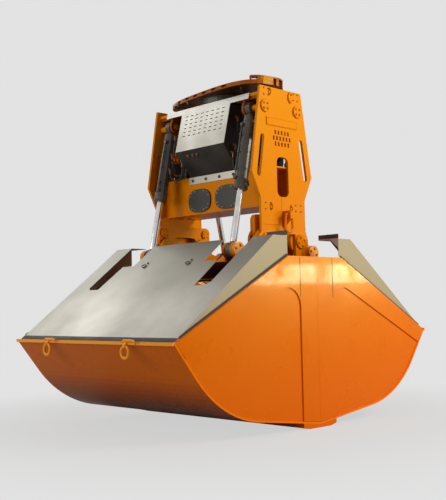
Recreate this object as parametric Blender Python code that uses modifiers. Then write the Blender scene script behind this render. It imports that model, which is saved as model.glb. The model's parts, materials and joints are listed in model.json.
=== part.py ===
"""Four-cylinder clamshell bucket for loose material, standing closed on its lips.

Metres, +Z up. X is the way the shells open, Y runs along the shell width and the hinge pins,
and the origin is on the ground under the middle of the closed lips.
"""

import math

import bmesh
import bpy
from mathutils import Matrix, Vector

# General clearances
TOUCH = 0.0003  # gap between pieces that seat on each other
SEAM = 0.0006  # half gap between the two closed shells

# Shells
SHELL_WIDTH = 1.90  # over the side plates
SHELL_REACH = 1.459  # seam to tip
TIP_HEIGHT = 0.691
SEAM_HEIGHT = 1.295  # top edge of the side plates
TOP_FLAT = 0.316  # half length of the flat top edge
LIP_DEPTH = 0.024  # lip under the shell sheet at the seam
LIP_FLAT = 0.125  # flat underside that the bucket stands on
LIP_LENGTH = 0.193
BOTTOM_ANGLE = math.radians(7.1)  # shell bottom against the ground
BACK_ANGLE = math.radians(52.0)  # shell back against the ground
BACK_RADIUS = 0.888
SHEET = 0.014
SIDE_PLATE = 0.016
DOUBLER = 0.010  # reinforcement that stands proud of the side plate
DOUBLER_EDGE = 0.002  # doubler in from the edges of the plate
DOUBLER_STRIP = 0.190  # width of its upright strip along the seam
DOUBLER_BAND = 0.196  # width of its band at the upper corner
DOUBLER_TIP_BAND = 0.136  # and at the tip
DOUBLER_BEND = 0.140
RIM_BAR = 0.010
RIM_HEIGHT = 0.024
PAD = 0.006
LUG_EYE = 0.020  # ring eye from the rim
PAD_LENGTH = 0.185
RING_PLACE = 0.478  # lifting rings from the middle
RING_RADIUS = 0.042
RING_WIRE = 0.0075

# Covers
COVER_SHEET = 0.004
COVER_RISE = 0.151  # fold above the top edge of the side plates
COVER_TOP = SEAM_HEIGHT + COVER_RISE
COVER_TOP_REACH = 0.460
COVER_SIDE = 0.020  # cover in from the face of the shell
COVER_INSET = 0.028  # lower edge back from the tip
COVER_LIFT = 0.016  # over the tip of the side plate
FOLD_STEP = 0.0005  # skirts stand this far inside the edge of the sheet
SKIRT_GAP = 0.010  # joint between skirt and side plate
COVER_GUSSET = 0.085
GUSSET_DROP = 0.072
FLANGE_HEIGHT = 0.039
FLANGE_REACH = 0.305
NOTCH_INNER = 0.420
NOTCH_STEP = 0.580
NOTCH_OUTER = 0.728
NOTCH_UPPER = 0.285  # depth of its wide part
NOTCH_DEPTH = 0.598
NOTCH_CHAMFER = 0.030

# Pins and cylinders
PIVOT_RISE = 0.144  # shell pivots above the top edge of the side plates
ROD_PIN_RISE = 0.064
PIVOT = Vector((0.200, 0, SEAM_HEIGHT + PIVOT_RISE))
ROD_PIN = Vector((0.443, 0, SEAM_HEIGHT + ROD_PIN_RISE))
HEAD_PIN_HALF = 0.191
HEAD_PIN_DROP = 0.1585  # under the top of the end plates
PIVOT_PIN_RADIUS = 0.030
HEAD_PIN_RADIUS = 0.026
ROD_PIN_RADIUS = 0.025
PIN_FIT = 0.0007
CAP_RADIUS = 0.060
HEAD_CAP_RADIUS = 0.052
CAP_THICKNESS = 0.0135
ROD_CAP = 0.008  # inner cap of the lower pin
ROD_BOSS = 0.030  # outer cap of the lower pin
CYLINDER_PLANE = 0.485
BARREL_RADIUS = 0.049
BORE_RADIUS = 0.040
BARREL_LENGTH = 0.680  # head pin to gland
BARREL_EYE = 0.055
BARREL_START = 0.061  # head pin to the closed end of the tube
BARREL_FLOOR = 0.024
EYE_WIDTH = 0.050
GLAND_RADIUS = 0.055
GLAND_LENGTH = 0.075
ROD_RADIUS = 0.026
ROD_FIT = 0.0005
ROD_EYE = 0.056
PISTON_LENGTH = 0.045
OPEN_ANGLE = math.radians(55.0)

GLAND_WALL = 0.020
ROD_PIN_PATH = 0.030  # room for the lower pin between its two end places
ROD_PIN_ROOM = 0.004

# Shell arms
ARM_PLATE = 0.020
ARM_GAP = 0.010  # ear to rod eye, arm to bracket
EAR_RADIUS = 0.062
ARM_HUB = 0.100
ARM_NECK = (0.145, -0.048)  # lowest place of the arm's upper edge, from the pivot
HUB_PROUD = 0.001
BEAM_NEAR = 0.150  # carrier beam, from the seam
BEAM_FAR = 0.300
BEAM_DROP = 0.010  # carrier beam under the top edge of the side plates
BEAM_TOP = SEAM_HEIGHT - BEAM_DROP
BEAM_HEIGHT = 0.130
BEAM_WALL = 0.012

# Frame
END_PLATE = 0.022
END_FACE = 0.631  # outer face of the end plates
NECK_RISE = 0.332  # pivots to neck
WIDEST_RISE = 0.196  # neck to widest place
FRAME_RISE = 0.690  # widest place to top
NECK_HEIGHT = PIVOT.z + NECK_RISE
WIDEST_HEIGHT = NECK_HEIGHT + WIDEST_RISE
FRAME_TOP = WIDEST_HEIGHT + FRAME_RISE
HEAD_PIN = Vector((HEAD_PIN_HALF, 0, FRAME_TOP - HEAD_PIN_DROP))
TOP_HALF = 0.2413
WIDEST_HALF = 0.3544
NECK_HALF = 0.2602
LOBE_RADIUS = 0.090
LEG_INNER = 0.062  # pivot to the inner edge of a leg
LEG_OUTER = 0.075
LEG_DROP = 0.119  # leg under the pivot
LEG_HOLE = 0.008
LEG_HOLE_PLACE = (0.017, 0.103)  # grease hole, out and down from the pivot
ARCH_RISE = 0.055  # opening between the legs, above the pivots
WINDOW_HALF = 0.068
WINDOW_SILL = 0.016  # above the neck
WINDOW_HEIGHT = 0.320
WINDOW_LOW = NECK_HEIGHT + WINDOW_SILL
WINDOW_HIGH = WINDOW_LOW + WINDOW_HEIGHT
WINDOW_CORNER = 0.045
SLOT_WIDTH = 0.044
SLOT_DROP = 0.012  # under the widest place
SLOT_LENGTH = 0.295
SLOT_LOW = WIDEST_HEIGHT - SLOT_DROP
SLOT_HIGH = SLOT_LOW + SLOT_LENGTH
SLOT_EDGE = 0.078  # slot middle from the plate's sloping edge
VENT_ROWS = (5, 6, 5)
VENT_WIDTH = 0.018
VENT_HEIGHT = 0.034
VENT_PITCH = 0.038
VENT_ROW_PITCH = 0.046
VENT_RISE = 0.148  # above the window
VENT_MIDDLE = WINDOW_HIGH + VENT_RISE
BRACKET_CHEEK = 0.030
BRACKET_RISE = 0.201
BRACKET_TOP = PIVOT.z + BRACKET_RISE
BRACKET_CORNER = 0.045
BRACKET_WEB = 0.034
BRACKET_HALF = 0.298
BRACKET_WEB_HALF = 0.210
BRACKET_LOBE = 0.068
BRACKET_CROWN = 0.095  # bracket above its arch
BRACKET_ARCH = BRACKET_TOP - BRACKET_CROWN
HEAD_CHEEK = 0.024
BEAM_HALF = 0.163
CROSS_DROP = 0.049  # beam under the neck
CROSS_HEIGHT = 0.314
CROSS_LOW = NECK_HEIGHT - CROSS_DROP
CROSS_HIGH = CROSS_LOW + CROSS_HEIGHT
CROSS_FOOT = 0.010  # bottom plate of the cross beam
CROSS_LEDGE = 0.012
TANK_HALF = 0.285
TANK_WIDE = 0.3165
TANK_FLARE = 0.204  # beam to the widest place of the box
TANK_UPPER = 0.335
TANK_WIDE_HEIGHT = CROSS_HIGH + TANK_FLARE
TANK_TOP_HALF = 0.2335
TANK_TOP = TANK_WIDE_HEIGHT + TANK_UPPER
TANK_WALL = 0.006
STRIP_HEIGHT = 0.060
STRIP_LENGTH = 0.580
STRIP = 0.008
HANDHOLE_WIDTH = 0.272
HANDHOLE_HEIGHT = 0.200
HANDHOLE_PLACE = 0.165
HANDHOLE_RISE = 0.106
HANDHOLE_CENTRE = CROSS_LOW + HANDHOLE_RISE
HANDHOLE = 0.012
VENT_SHEET = 0.003
PANEL_HALF = 0.293
PANEL_FLANGE_HALF = 0.497
PANEL_FLANGE = 0.050
PANEL_ROWS = 6
PANEL_COLUMNS = 8
PANEL_SLOT = (0.030, 0.008)
PANEL_ROW_PITCH = 0.036
PANEL_TOP_ROW = 0.026  # under the flange
PANEL_RISE = 0.045  # panel above the box
TOP_PLATE = 0.025
TOP_PLATE_HALF = 0.216
TOP_PLATE_DROP = 0.039
TOP_PLATE_HIGH = FRAME_TOP - TOP_PLATE_DROP

# Head
HEAD_TURN = math.radians(-8.0)  # how the free head stands
SLEW_OUTER = 0.205
SLEW_INNER = 0.150
SLEW_FIT = 0.003
HEAD_GAP = 0.029  # head over the end plates
HEAD_LOW = FRAME_TOP + HEAD_GAP
HOOP_HALF_WIDTH = 0.270
HOOP_HALF_LENGTH = 0.616
HOOP_BAND = 0.055
HOOP_HEIGHT = 0.033
HOOP_STEPS = 40
POCKETS = 6
POCKET_PITCH = 0.130
HUB_RADIUS = 0.190
HUB_PLATE = 0.016
HUB_DROP = 0.008  # spigot over the top plate
GUARD_RISE = 0.068
GUARD_HIGH = HEAD_LOW + GUARD_RISE
GUARD_BAND = 0.013
GUARD_RAIL = (239.5, 342)  # degrees round the hoop
GUARD_BLOCKS = ((240, 242.5), (252, 271.5), (275.5, 281), (294, 306), (331, 341))
HOOP_SLOTS = ((271.5, 275.5), (281, 294), (306, 318))
POCKET = (0.056, 0.018, 0.020)  # length, height and depth

# Lifting lugs and shackles on the end plates
LUG_PLATE = 0.018
LUG_RISE = 0.235  # top of the lug above the pivots
LUG_HEIGHT = 0.136
LUG_HIGH = PIVOT.z + LUG_RISE
LUG_LOW = LUG_HIGH - LUG_HEIGHT
LUG_NOSE = 0.062
LUG_EYE_PLACE = (0.030, 0.032)  # in from the nose, down from the top
LUG_REACH = 0.082
SHACKLE_WIRE = 0.011
SHACKLE_FIT = 0.0004
SHACKLE_HALF = 0.034
SHACKLE_BOW = 0.046
SHACKLE_DROP = 0.139

SIDES = {"left": -1, "right": 1}
ENDS = {"near": -1, "far": 1}

for old in list(bpy.data.objects):
    bpy.data.objects.remove(old, do_unlink=True)

bucket = bpy.data.collections.new("clamshell_bucket")
cutters = bpy.data.collections.new("cutters")
bpy.context.scene.collection.children.link(bucket)
bpy.context.scene.collection.children.link(cutters)
cutters.hide_render = True


def paint(name, color, roughness, metallic=0.0):
    material = bpy.data.materials.new(name)
    material.use_nodes = True
    shader = material.node_tree.nodes["Principled BSDF"]
    shader.inputs["Base Color"].default_value = (*color, 1.0)
    shader.inputs["Roughness"].default_value = roughness
    shader.inputs["Metallic"].default_value = metallic
    return material


def add(name, mesh, color, roughness=0.4, metallic=0.0):
    """A named piece of the bucket with a material of its own."""
    piece = bpy.data.objects.new(name, mesh)
    bucket.objects.link(piece)
    mesh.materials.clear()
    mesh.materials.append(paint(name, color, roughness, metallic))
    return piece


ORANGE = (0.92, 0.36, 0.02)
STEEL = (0.52, 0.51, 0.48)
DARK = (0.05, 0.05, 0.05)
CHROME = (0.80, 0.80, 0.80)
GREY = (0.16, 0.16, 0.16)


def arc(centre, radius, start, end, steps):
    """Points on an arc, angles in radians, both ends included."""
    return [
        (centre[0] + radius * math.cos(a), centre[1] + radius * math.sin(a))
        for a in (start + (end - start) * i / steps for i in range(steps + 1))
    ]


def rounded(points, radii, steps=4):
    """A closed outline with each corner rounded by its own radius."""
    outline = []
    count = len(points)
    for i, corner in enumerate(points):
        radius = radii[i] if isinstance(radii, (list, tuple)) else radii
        here = Vector(corner)
        if radius <= 0:
            outline.append(tuple(here))
            continue
        before = (Vector(points[i - 1]) - here).normalized()
        after = (Vector(points[(i + 1) % count]) - here).normalized()
        half = before.angle(after) / 2
        reach = radius / math.tan(half)
        first, last = here + before * reach, here + after * reach
        middle = here + (before + after).normalized() * (radius / math.sin(half))
        for k in range(steps + 1):
            part = first.lerp(last, k / steps) - middle
            outline.append(tuple(middle + part.normalized() * radius))
    return outline


def ring(centre, radius, steps=16):
    return arc(centre, radius, 0, 2 * math.pi * (1 - 1 / steps), steps - 1)


def rectangle(left, right, low, high):
    return [(left, low), (right, low), (right, high), (left, high)]


def hull(points):
    """Convex outline round a set of points, counter-clockwise."""
    points = sorted(set((round(x, 6), round(y, 6)) for x, y in points))
    halves = []
    for run in (points, points[::-1]):
        edge = []
        for p in run:
            while len(edge) > 1:
                (ax, ay), (bx, by) = edge[-2], edge[-1]
                if (bx - ax) * (p[1] - ay) - (by - ay) * (p[0] - ax) > 1e-12:
                    break
                edge.pop()
            edge.append(p)
        halves += edge[:-1]
    return halves


def flat(loops, low, high, axis="Y"):
    """Mesh of an outline with holes, extruded between low and high along an axis.

    Loops are (x, z) points for Y, (y, z) for X and (x, y) for Z.
    """
    curve = bpy.data.curves.new("outline", "CURVE")
    curve.dimensions = "2D"
    curve.fill_mode = "BOTH"
    curve.extrude = abs(high - low) / 2
    for loop in loops:
        spline = curve.splines.new("POLY")
        spline.points.add(len(loop) - 1)
        for point, (u, v) in zip(spline.points, loop):
            point.co = (u, v, 0, 1)
        spline.use_cyclic_u = True
    holder = bpy.data.objects.new("outline", curve)
    cutters.objects.link(holder)
    bpy.context.view_layer.update()
    shape = holder.evaluated_get(bpy.context.evaluated_depsgraph_get())
    mesh = bpy.data.meshes.new_from_object(shape)
    bpy.data.objects.remove(holder)
    bpy.data.curves.remove(curve)
    middle = (low + high) / 2
    if axis == "Y":
        place = Matrix.Translation((0, middle, 0)) @ Matrix.Rotation(math.pi / 2, 4, "X")
    elif axis == "X":
        turn = Matrix(((0, 0, 1, 0), (1, 0, 0, 0), (0, 1, 0, 0), (0, 0, 0, 1)))
        place = Matrix.Translation((middle, 0, 0)) @ turn
    else:
        place = Matrix.Translation((0, 0, middle))
    mesh.transform(place)
    weld(mesh)
    return mesh


def weld(mesh):
    bm = bmesh.new()
    bm.from_mesh(mesh)
    bmesh.ops.remove_doubles(bm, verts=bm.verts, dist=0.00002)
    bmesh.ops.recalc_face_normals(bm, faces=bm.faces)
    bm.to_mesh(mesh)
    bm.free()


def box_mesh(low, high):
    mesh = bpy.data.meshes.new("box")
    bm = bmesh.new()
    bmesh.ops.create_cube(bm, size=1.0)
    size = [h - l for l, h in zip(low, high)]
    middle = [(h + l) / 2 for l, h in zip(low, high)]
    place = Matrix.Translation(middle) @ Matrix.Diagonal((*size, 1.0))
    bmesh.ops.transform(bm, matrix=place, verts=bm.verts)
    bm.to_mesh(mesh)
    bm.free()
    return mesh


def rod(start, end, radius, steps=16):
    """Mesh of a round bar from start to end."""
    start, end = Vector(start), Vector(end)
    mesh = bpy.data.meshes.new("rod")
    bm = bmesh.new()
    length = (end - start).length
    bmesh.ops.create_cone(
        bm, cap_ends=True, segments=steps, radius1=radius, radius2=radius, depth=length
    )
    turn = (end - start).to_track_quat("Z", "Y").to_matrix().to_4x4()
    bmesh.ops.transform(bm, matrix=Matrix.Translation((start + end) / 2) @ turn, verts=bm.verts)
    bm.to_mesh(mesh)
    bm.free()
    return mesh


def turned(profile, start, end, steps=16):
    """Mesh of a profile of (radius, distance) points turned round the line from start to end."""
    start, end = Vector(start), Vector(end)
    mesh = bpy.data.meshes.new("turned")
    bm = bmesh.new()
    points = [bm.verts.new((r, 0, d)) for r, d in profile]
    for a, b in zip(points, points[1:]):
        bm.edges.new((a, b))
    if profile[0][0] > 0:
        bm.edges.new((points[-1], points[0]))
    bm.to_mesh(mesh)
    bm.free()
    holder = bpy.data.objects.new("turned", mesh)
    cutters.objects.link(holder)
    screw = holder.modifiers.new("turn", "SCREW")
    screw.steps = screw.render_steps = steps
    screw.use_merge_vertices = True
    screw.merge_threshold = 0.0001
    bpy.context.view_layer.update()
    shape = holder.evaluated_get(bpy.context.evaluated_depsgraph_get())
    result = bpy.data.meshes.new_from_object(shape)
    bpy.data.objects.remove(holder)
    turn = (end - start).to_track_quat("Z", "Y").to_matrix().to_4x4()
    result.transform(Matrix.Translation(start) @ turn)
    weld(result)
    return result


def combine(mesh, others, operation):
    """The mesh with others joined to it or cut from it, one after another."""
    body = bpy.data.objects.new("body", mesh)
    cutters.objects.link(body)
    helpers = []
    for other in others:
        helper = bpy.data.objects.new("cutter", other)
        helper.display_type = "WIRE"
        helper.hide_render = True
        cutters.objects.link(helper)
        helpers.append(helper)
        change = body.modifiers.new("change", "BOOLEAN")
        change.operation = operation
        change.solver = "EXACT"
        change.object = helper
    bpy.context.view_layer.update()
    shape = body.evaluated_get(bpy.context.evaluated_depsgraph_get())
    result = bpy.data.meshes.new_from_object(shape)
    for holder in [body] + helpers:
        bpy.data.objects.remove(holder)
    return result


def joined(mesh, *others):
    return combine(mesh, others, "UNION")


def cut(mesh, *others):
    return combine(mesh, others, "DIFFERENCE")


def axis_empty(name, place, turn=0.0, parent=None):
    empty = bpy.data.objects.new(name, None)
    empty.empty_display_size = 0.1
    empty.location = place
    empty.rotation_euler = (0, 0, turn)
    bucket.objects.link(empty)
    bpy.context.view_layer.update()
    if parent:
        hang(parent, empty)
    return empty


def hang(parent, *pieces):
    """Parents pieces to an empty without moving them."""
    bpy.context.view_layer.update()
    for piece in pieces:
        piece.parent = parent
        piece.matrix_parent_inverse = parent.matrix_world.inverted()


def facing(mesh, side):
    """The mesh of a right-hand piece, turned into its mirror image for the left."""
    if side < 0:
        mesh.transform(Matrix.Scale(-1, 4, (1, 0, 0)))
        weld(mesh)
    return mesh


def mirrored(points, side):
    return [(side * x, z) for x, z in points]


# Shell outline, for the right shell: X from the seam, Z up
def line_meet(p, d, q, e):
    """Where the line through p along d meets the line through q along e."""
    cross = d[0] * e[1] - d[1] * e[0]
    t = ((q[0] - p[0]) * e[1] - (q[1] - p[1]) * e[0]) / cross
    return (p[0] + d[0] * t, p[1] + d[1] * t)


bottom_way = (math.cos(BOTTOM_ANGLE), math.sin(BOTTOM_ANGLE))
back_way = (math.cos(BACK_ANGLE), math.sin(BACK_ANGLE))
tip = (SHELL_REACH, TIP_HEIGHT)
top_corner = (TOP_FLAT, SEAM_HEIGHT)
slope_length = math.hypot(tip[0] - top_corner[0], tip[1] - top_corner[1])
slope_way = ((tip[0] - top_corner[0]) / slope_length, (tip[1] - top_corner[1]) / slope_length)
slope_normal = (-slope_way[1], slope_way[0])  # out of the shell


def shell_curve(inset, top=tip, steps=14):
    """The shell's bottom and back, moved inwards by inset, from the seam up to the sloped edge."""
    foot = (0.0, LIP_DEPTH + inset / math.cos(BOTTOM_ANGLE))
    back = (tip[0] - inset * math.sin(BACK_ANGLE), tip[1] + inset * math.cos(BACK_ANGLE))
    corner = line_meet(foot, bottom_way, back, back_way)
    radius = BACK_RADIUS - inset
    reach = radius * math.tan((BACK_ANGLE - BOTTOM_ANGLE) / 2)
    start = (corner[0] - bottom_way[0] * reach, corner[1] - bottom_way[1] * reach)
    centre = (start[0] - radius * math.sin(BOTTOM_ANGLE), start[1] + radius * math.cos(BOTTOM_ANGLE))
    bend = arc(centre, radius, BOTTOM_ANGLE - math.pi / 2, BACK_ANGLE - math.pi / 2, steps)
    end = line_meet(back, back_way, top, slope_way)
    first = (SEAM, foot[1] + SEAM * math.tan(BOTTOM_ANGLE))
    return [first] + bend + [end]


half_width = SHELL_WIDTH / 2
plate_face = half_width - DOUBLER

# Cover plane
cover_low = (SHELL_REACH - COVER_INSET, TIP_HEIGHT + COVER_LIFT)
cover_fold = (COVER_TOP_REACH, COVER_TOP)
cover_length = math.hypot(cover_low[0] - cover_fold[0], cover_low[1] - cover_fold[1])
cover_way = ((cover_low[0] - cover_fold[0]) / cover_length, (cover_low[1] - cover_fold[1]) / cover_length)
cover_normal = (-cover_way[1], cover_way[0])


cover_lean = math.atan2(-cover_way[1], cover_way[0])
cover_plane = Matrix((
    (cover_way[0], 0, cover_normal[0], cover_fold[0]),
    (0, 1, 0, 0),
    (cover_way[1], 0, cover_normal[1], cover_fold[1]),
    (0, 0, 0, 1),
))
# One notch in the upper edge of a cover, as (down the slope, along the shell) points
notch = [
    (NOTCH_DEPTH - NOTCH_CHAMFER, NOTCH_OUTER),
    (NOTCH_DEPTH, NOTCH_OUTER - NOTCH_CHAMFER),
    (NOTCH_DEPTH, NOTCH_STEP),
    (NOTCH_UPPER, NOTCH_STEP - NOTCH_CHAMFER / 2),
    (NOTCH_UPPER, NOTCH_INNER),
    (COVER_SHEET, NOTCH_INNER),
]


def on_slope(distance, depth):
    """Point under the sloped edge of the side plate, distance from its upper corner."""
    return (
        top_corner[0] + slope_way[0] * distance - slope_normal[0] * depth,
        top_corner[1] + slope_way[1] * distance - slope_normal[1] * depth,
    )


def shell_sheet(side):
    outer = shell_curve(0)
    inner = shell_curve(SHEET)
    loop = mirrored(outer + inner[::-1], side)
    return add(f"shell_sheet_{side_name(side)}", flat([loop], -half_width, half_width), ORANGE)


def side_name(side):
    return "left" if side < 0 else "right"


def end_name(end):
    return "near" if end < 0 else "far"


def side_plate(side, end):
    curve = shell_curve(SHEET + TOUCH)
    outline = curve + [top_corner, (SEAM, SEAM_HEIGHT)]
    inner = end * (plate_face - SIDE_PLATE)
    outer = end * plate_face
    base = flat([mirrored(outline, side)], min(inner, outer), max(inner, outer))
    upper = on_slope(0, DOUBLER_BAND)
    lower = on_slope(slope_length, DOUBLER_TIP_BAND)
    band_way = (lower[0] - upper[0], lower[1] - upper[1])
    edge = DOUBLER_EDGE
    band = [
        (SEAM, curve[0][1] + edge),
        (DOUBLER_STRIP, curve[0][1] + edge + DOUBLER_STRIP * bottom_way[1] / bottom_way[0]),
        line_meet(upper, band_way, (DOUBLER_STRIP, 0), (0, 1)),
        line_meet(upper, band_way, (curve[-2][0] - 3 * edge, curve[-2][1]), back_way),
        (tip[0] - 8 * edge, tip[1] + 2 * edge),
        (top_corner[0], top_corner[1] - edge),
        (SEAM, SEAM_HEIGHT - edge),
    ]
    shape = rounded(band, [0, 0, DOUBLER_BEND, 0, 0, 0, 0], 8)
    low, high = sorted((end * (plate_face - SIDE_PLATE / 4), end * half_width))
    raised = flat([mirrored(shape, side)], low, high)
    mesh = joined(base, raised)
    return add(f"side_plate_{side_name(side)}_{end_name(end)}", mesh, ORANGE)


def lip(side):
    """Cutting edge under the sheet, with the flat that the closed bucket stands on."""
    top = LIP_DEPTH - TOUCH
    rise = math.tan(BOTTOM_ANGLE)
    outline = [
        (SEAM, 0),
        (LIP_FLAT, 0),
        (LIP_LENGTH, 0.016),
        (LIP_LENGTH, top + LIP_LENGTH * rise),
        (SEAM, top + SEAM * rise),
    ]
    return add(f"lip_{side_name(side)}", flat([mirrored(outline, side)], -half_width, half_width), ORANGE)


def rim(side):
    """Flat bar along the rear edge of the shell, with a lug for each lifting ring."""
    near = tip[0] + TOUCH
    far = near + RIM_BAR
    low = tip[1] - RIM_HEIGHT / 2
    outline = [(near, low), (far, low), (far, low + RIM_HEIGHT), (near, low + RIM_HEIGHT)]
    mesh = flat([outline], -half_width, half_width)
    eye = (far + LUG_EYE, low - 0.006)
    parts = []
    for end in (-1, 1):
        middle = end * RING_PLACE
        parts.append(box_mesh(
            (far - 0.004, middle - PAD_LENGTH / 2, low + 0.003),
            (far + PAD, middle + PAD_LENGTH / 2, low + RIM_HEIGHT - 0.003),
        ))
        base = [(far - 0.003, low + RIM_HEIGHT - 0.005), (far - 0.003, low - 0.008)]
        loops = [hull(ring(eye, RING_WIRE * 2.4, 16) + base), ring(eye, RING_WIRE + 0.0015, 12)]
        parts.append(flat(loops, middle - 0.006, middle + 0.006))
    mesh = facing(joined(mesh, *parts), side)
    return add(f"rear_rim_{side_name(side)}", mesh, ORANGE), (side * eye[0], eye[1])


def lifting_ring(side, end, eye):
    """Round ring that hangs from its lug on the rear rim."""
    mesh = wire([(0, y, z - RING_RADIUS) for y, z in ring((0, 0), RING_RADIUS)], RING_WIRE)
    mesh.transform(Matrix.Translation((eye[0], end * RING_PLACE, eye[1])))
    return add(f"lifting_ring_{side_name(side)}_{end_name(end)}", mesh, ORANGE)


def cover(side):
    """Folded steel sheet over the back of the shell, with side skirts and notches for the cylinders."""
    seat = on_slope(0, -TOUCH)
    inner_fold = (
        cover_fold[0] - COVER_SHEET * math.tan(cover_lean / 2),
        cover_fold[1] - COVER_SHEET,
    )
    cover_half = half_width - COVER_SIDE
    section = [
        (FLANGE_REACH, COVER_TOP),
        cover_fold,
        line_meet(cover_fold, cover_way, seat, slope_way),
        line_meet(inner_fold, cover_way, seat, slope_way),
        inner_fold,
        (FLANGE_REACH, COVER_TOP - COVER_SHEET),
    ]
    mesh = flat([section], -cover_half, cover_half)
    opening = [(-NOTCH_DEPTH, -NOTCH_OUTER)] + [(s, -y) for s, y in notch] + notch[::-1]
    opening.append((-NOTCH_DEPTH, NOTCH_OUTER))
    cutter = flat([opening], -NOTCH_DEPTH / 2, NOTCH_DEPTH / 4, "Z")
    cutter.transform(cover_plane)
    mesh = cut(mesh, cutter)
    under = COVER_SHEET / 2
    foot = on_slope(0, -SKIRT_GAP)
    skirt = [
        line_meet((cover_fold[0], cover_fold[1] - under), cover_way, foot, slope_way),
        (cover_fold[0], cover_fold[1] - under),
        (FLANGE_REACH + under, COVER_TOP - under),
        line_meet((FLANGE_REACH + under, 0), (0, 1), foot, slope_way),
    ]
    outer = cover_half - FOLD_STEP
    parts = [flat([skirt], *sorted((end * (outer - COVER_SHEET), end * outer))) for end in (-1, 1)]
    # Upright flange with its gusset, at the near end
    start = FLANGE_REACH + FOLD_STEP
    flange = rectangle(-outer, -NOTCH_OUTER - FOLD_STEP, COVER_TOP - under, COVER_TOP + FLANGE_HEIGHT)
    parts.append(flat([flange], start, start + COVER_SHEET, "X"))
    corner = (-outer + under, COVER_TOP - under)
    gusset = [corner, (corner[0] + COVER_GUSSET, corner[1]), (corner[0], corner[1] - GUSSET_DROP)]
    start += COVER_SHEET / 2
    parts.append(flat([gusset[::-1]], start, start + COVER_SHEET, "X"))
    mesh = joined(mesh, *parts)
    return add(f"cover_{side_name(side)}", facing(mesh, side), STEEL, 0.35, 0.8)


def capsule(start, end, radius, steps=5):
    """Outline of a slot between two points."""
    way = math.atan2(end[1] - start[1], end[0] - start[0])
    return arc(end, radius, way - math.pi / 2, way + math.pi / 2, steps) + arc(
        start, radius, way + math.pi / 2, way + 1.5 * math.pi, steps
    )


def carrier(side):
    """Box beam between the side plates with the arms that hold the pivot and rod pins."""
    reach = plate_face - SIDE_PLATE - TOUCH
    low = BEAM_TOP - BEAM_HEIGHT
    wall = BEAM_WALL
    outside = rectangle(BEAM_NEAR, BEAM_FAR, low, BEAM_TOP)
    inside = rectangle(BEAM_NEAR + wall, BEAM_FAR - wall, low + wall, BEAM_TOP - wall)
    beam = flat([outside, inside], -reach, reach)
    pivot = (PIVOT.x, PIVOT.z)
    pin = (ROD_PIN.x, ROD_PIN.z)
    to_pivot = (Vector(pivot) - Vector(pin)).normalized()
    slot_end = tuple(Vector(pin) + to_pivot * ROD_PIN_PATH)
    slot = capsule(pin, slot_end, ROD_PIN_RADIUS + ROD_PIN_ROOM)
    foot = [(BEAM_NEAR + 0.01, low + 0.01), (BEAM_FAR - 0.01, low + 0.01)]
    wide = [(BEAM_NEAR + 0.01, low + 0.01), (BEAM_FAR + 0.08, low + 0.02)]
    hub = ring(pivot, PIVOT_PIN_RADIUS + PIN_FIT)
    ear = arc(pin, EAR_RADIUS, math.radians(-60), math.radians(150), 10)
    shoulder = (pivot[0] - ARM_HUB / 2, pivot[1])
    neck = (pivot[0] + ARM_NECK[0], pivot[1] + ARM_NECK[1])
    middle_arm = [ear + [neck, shoulder, wide[0], wide[1]], slot]
    outer_arm = [hull([shoulder, (pivot[0] + ARM_HUB / 2, pivot[1])] + foot)]
    inner_ear = [hull(ring(pin, EAR_RADIUS) + wide + [(BEAM_NEAR + 0.05, BEAM_TOP - 0.01)]), slot]
    hub_disc = ring(pivot, ARM_HUB, 20)
    parts = []
    for end in (-1, 1):
        ear_in = CYLINDER_PLANE - EYE_WIDTH / 2 - ARM_GAP / 2 - ARM_PLATE
        ear_out = CYLINDER_PLANE + EYE_WIDTH / 2 + ARM_GAP / 2
        outer = ear_out + ARM_PLATE + 2 * ARM_GAP + BRACKET_CHEEK
        for loops, at in ((inner_ear, ear_in), (middle_arm, ear_out), (outer_arm, outer)):
            a, b = sorted((end * at, end * (at + ARM_PLATE)))
            parts.append(flat(loops, a, b))
            if loops is not inner_ear:
                parts.append(flat([hub_disc], a - HUB_PROUD, b + HUB_PROUD))
    mesh = joined(beam, *parts)
    bore = flat([hub], -END_FACE, END_FACE)
    mesh = facing(cut(mesh, bore), side)
    return add(f"shell_carrier_{side_name(side)}", mesh, ORANGE)


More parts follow.
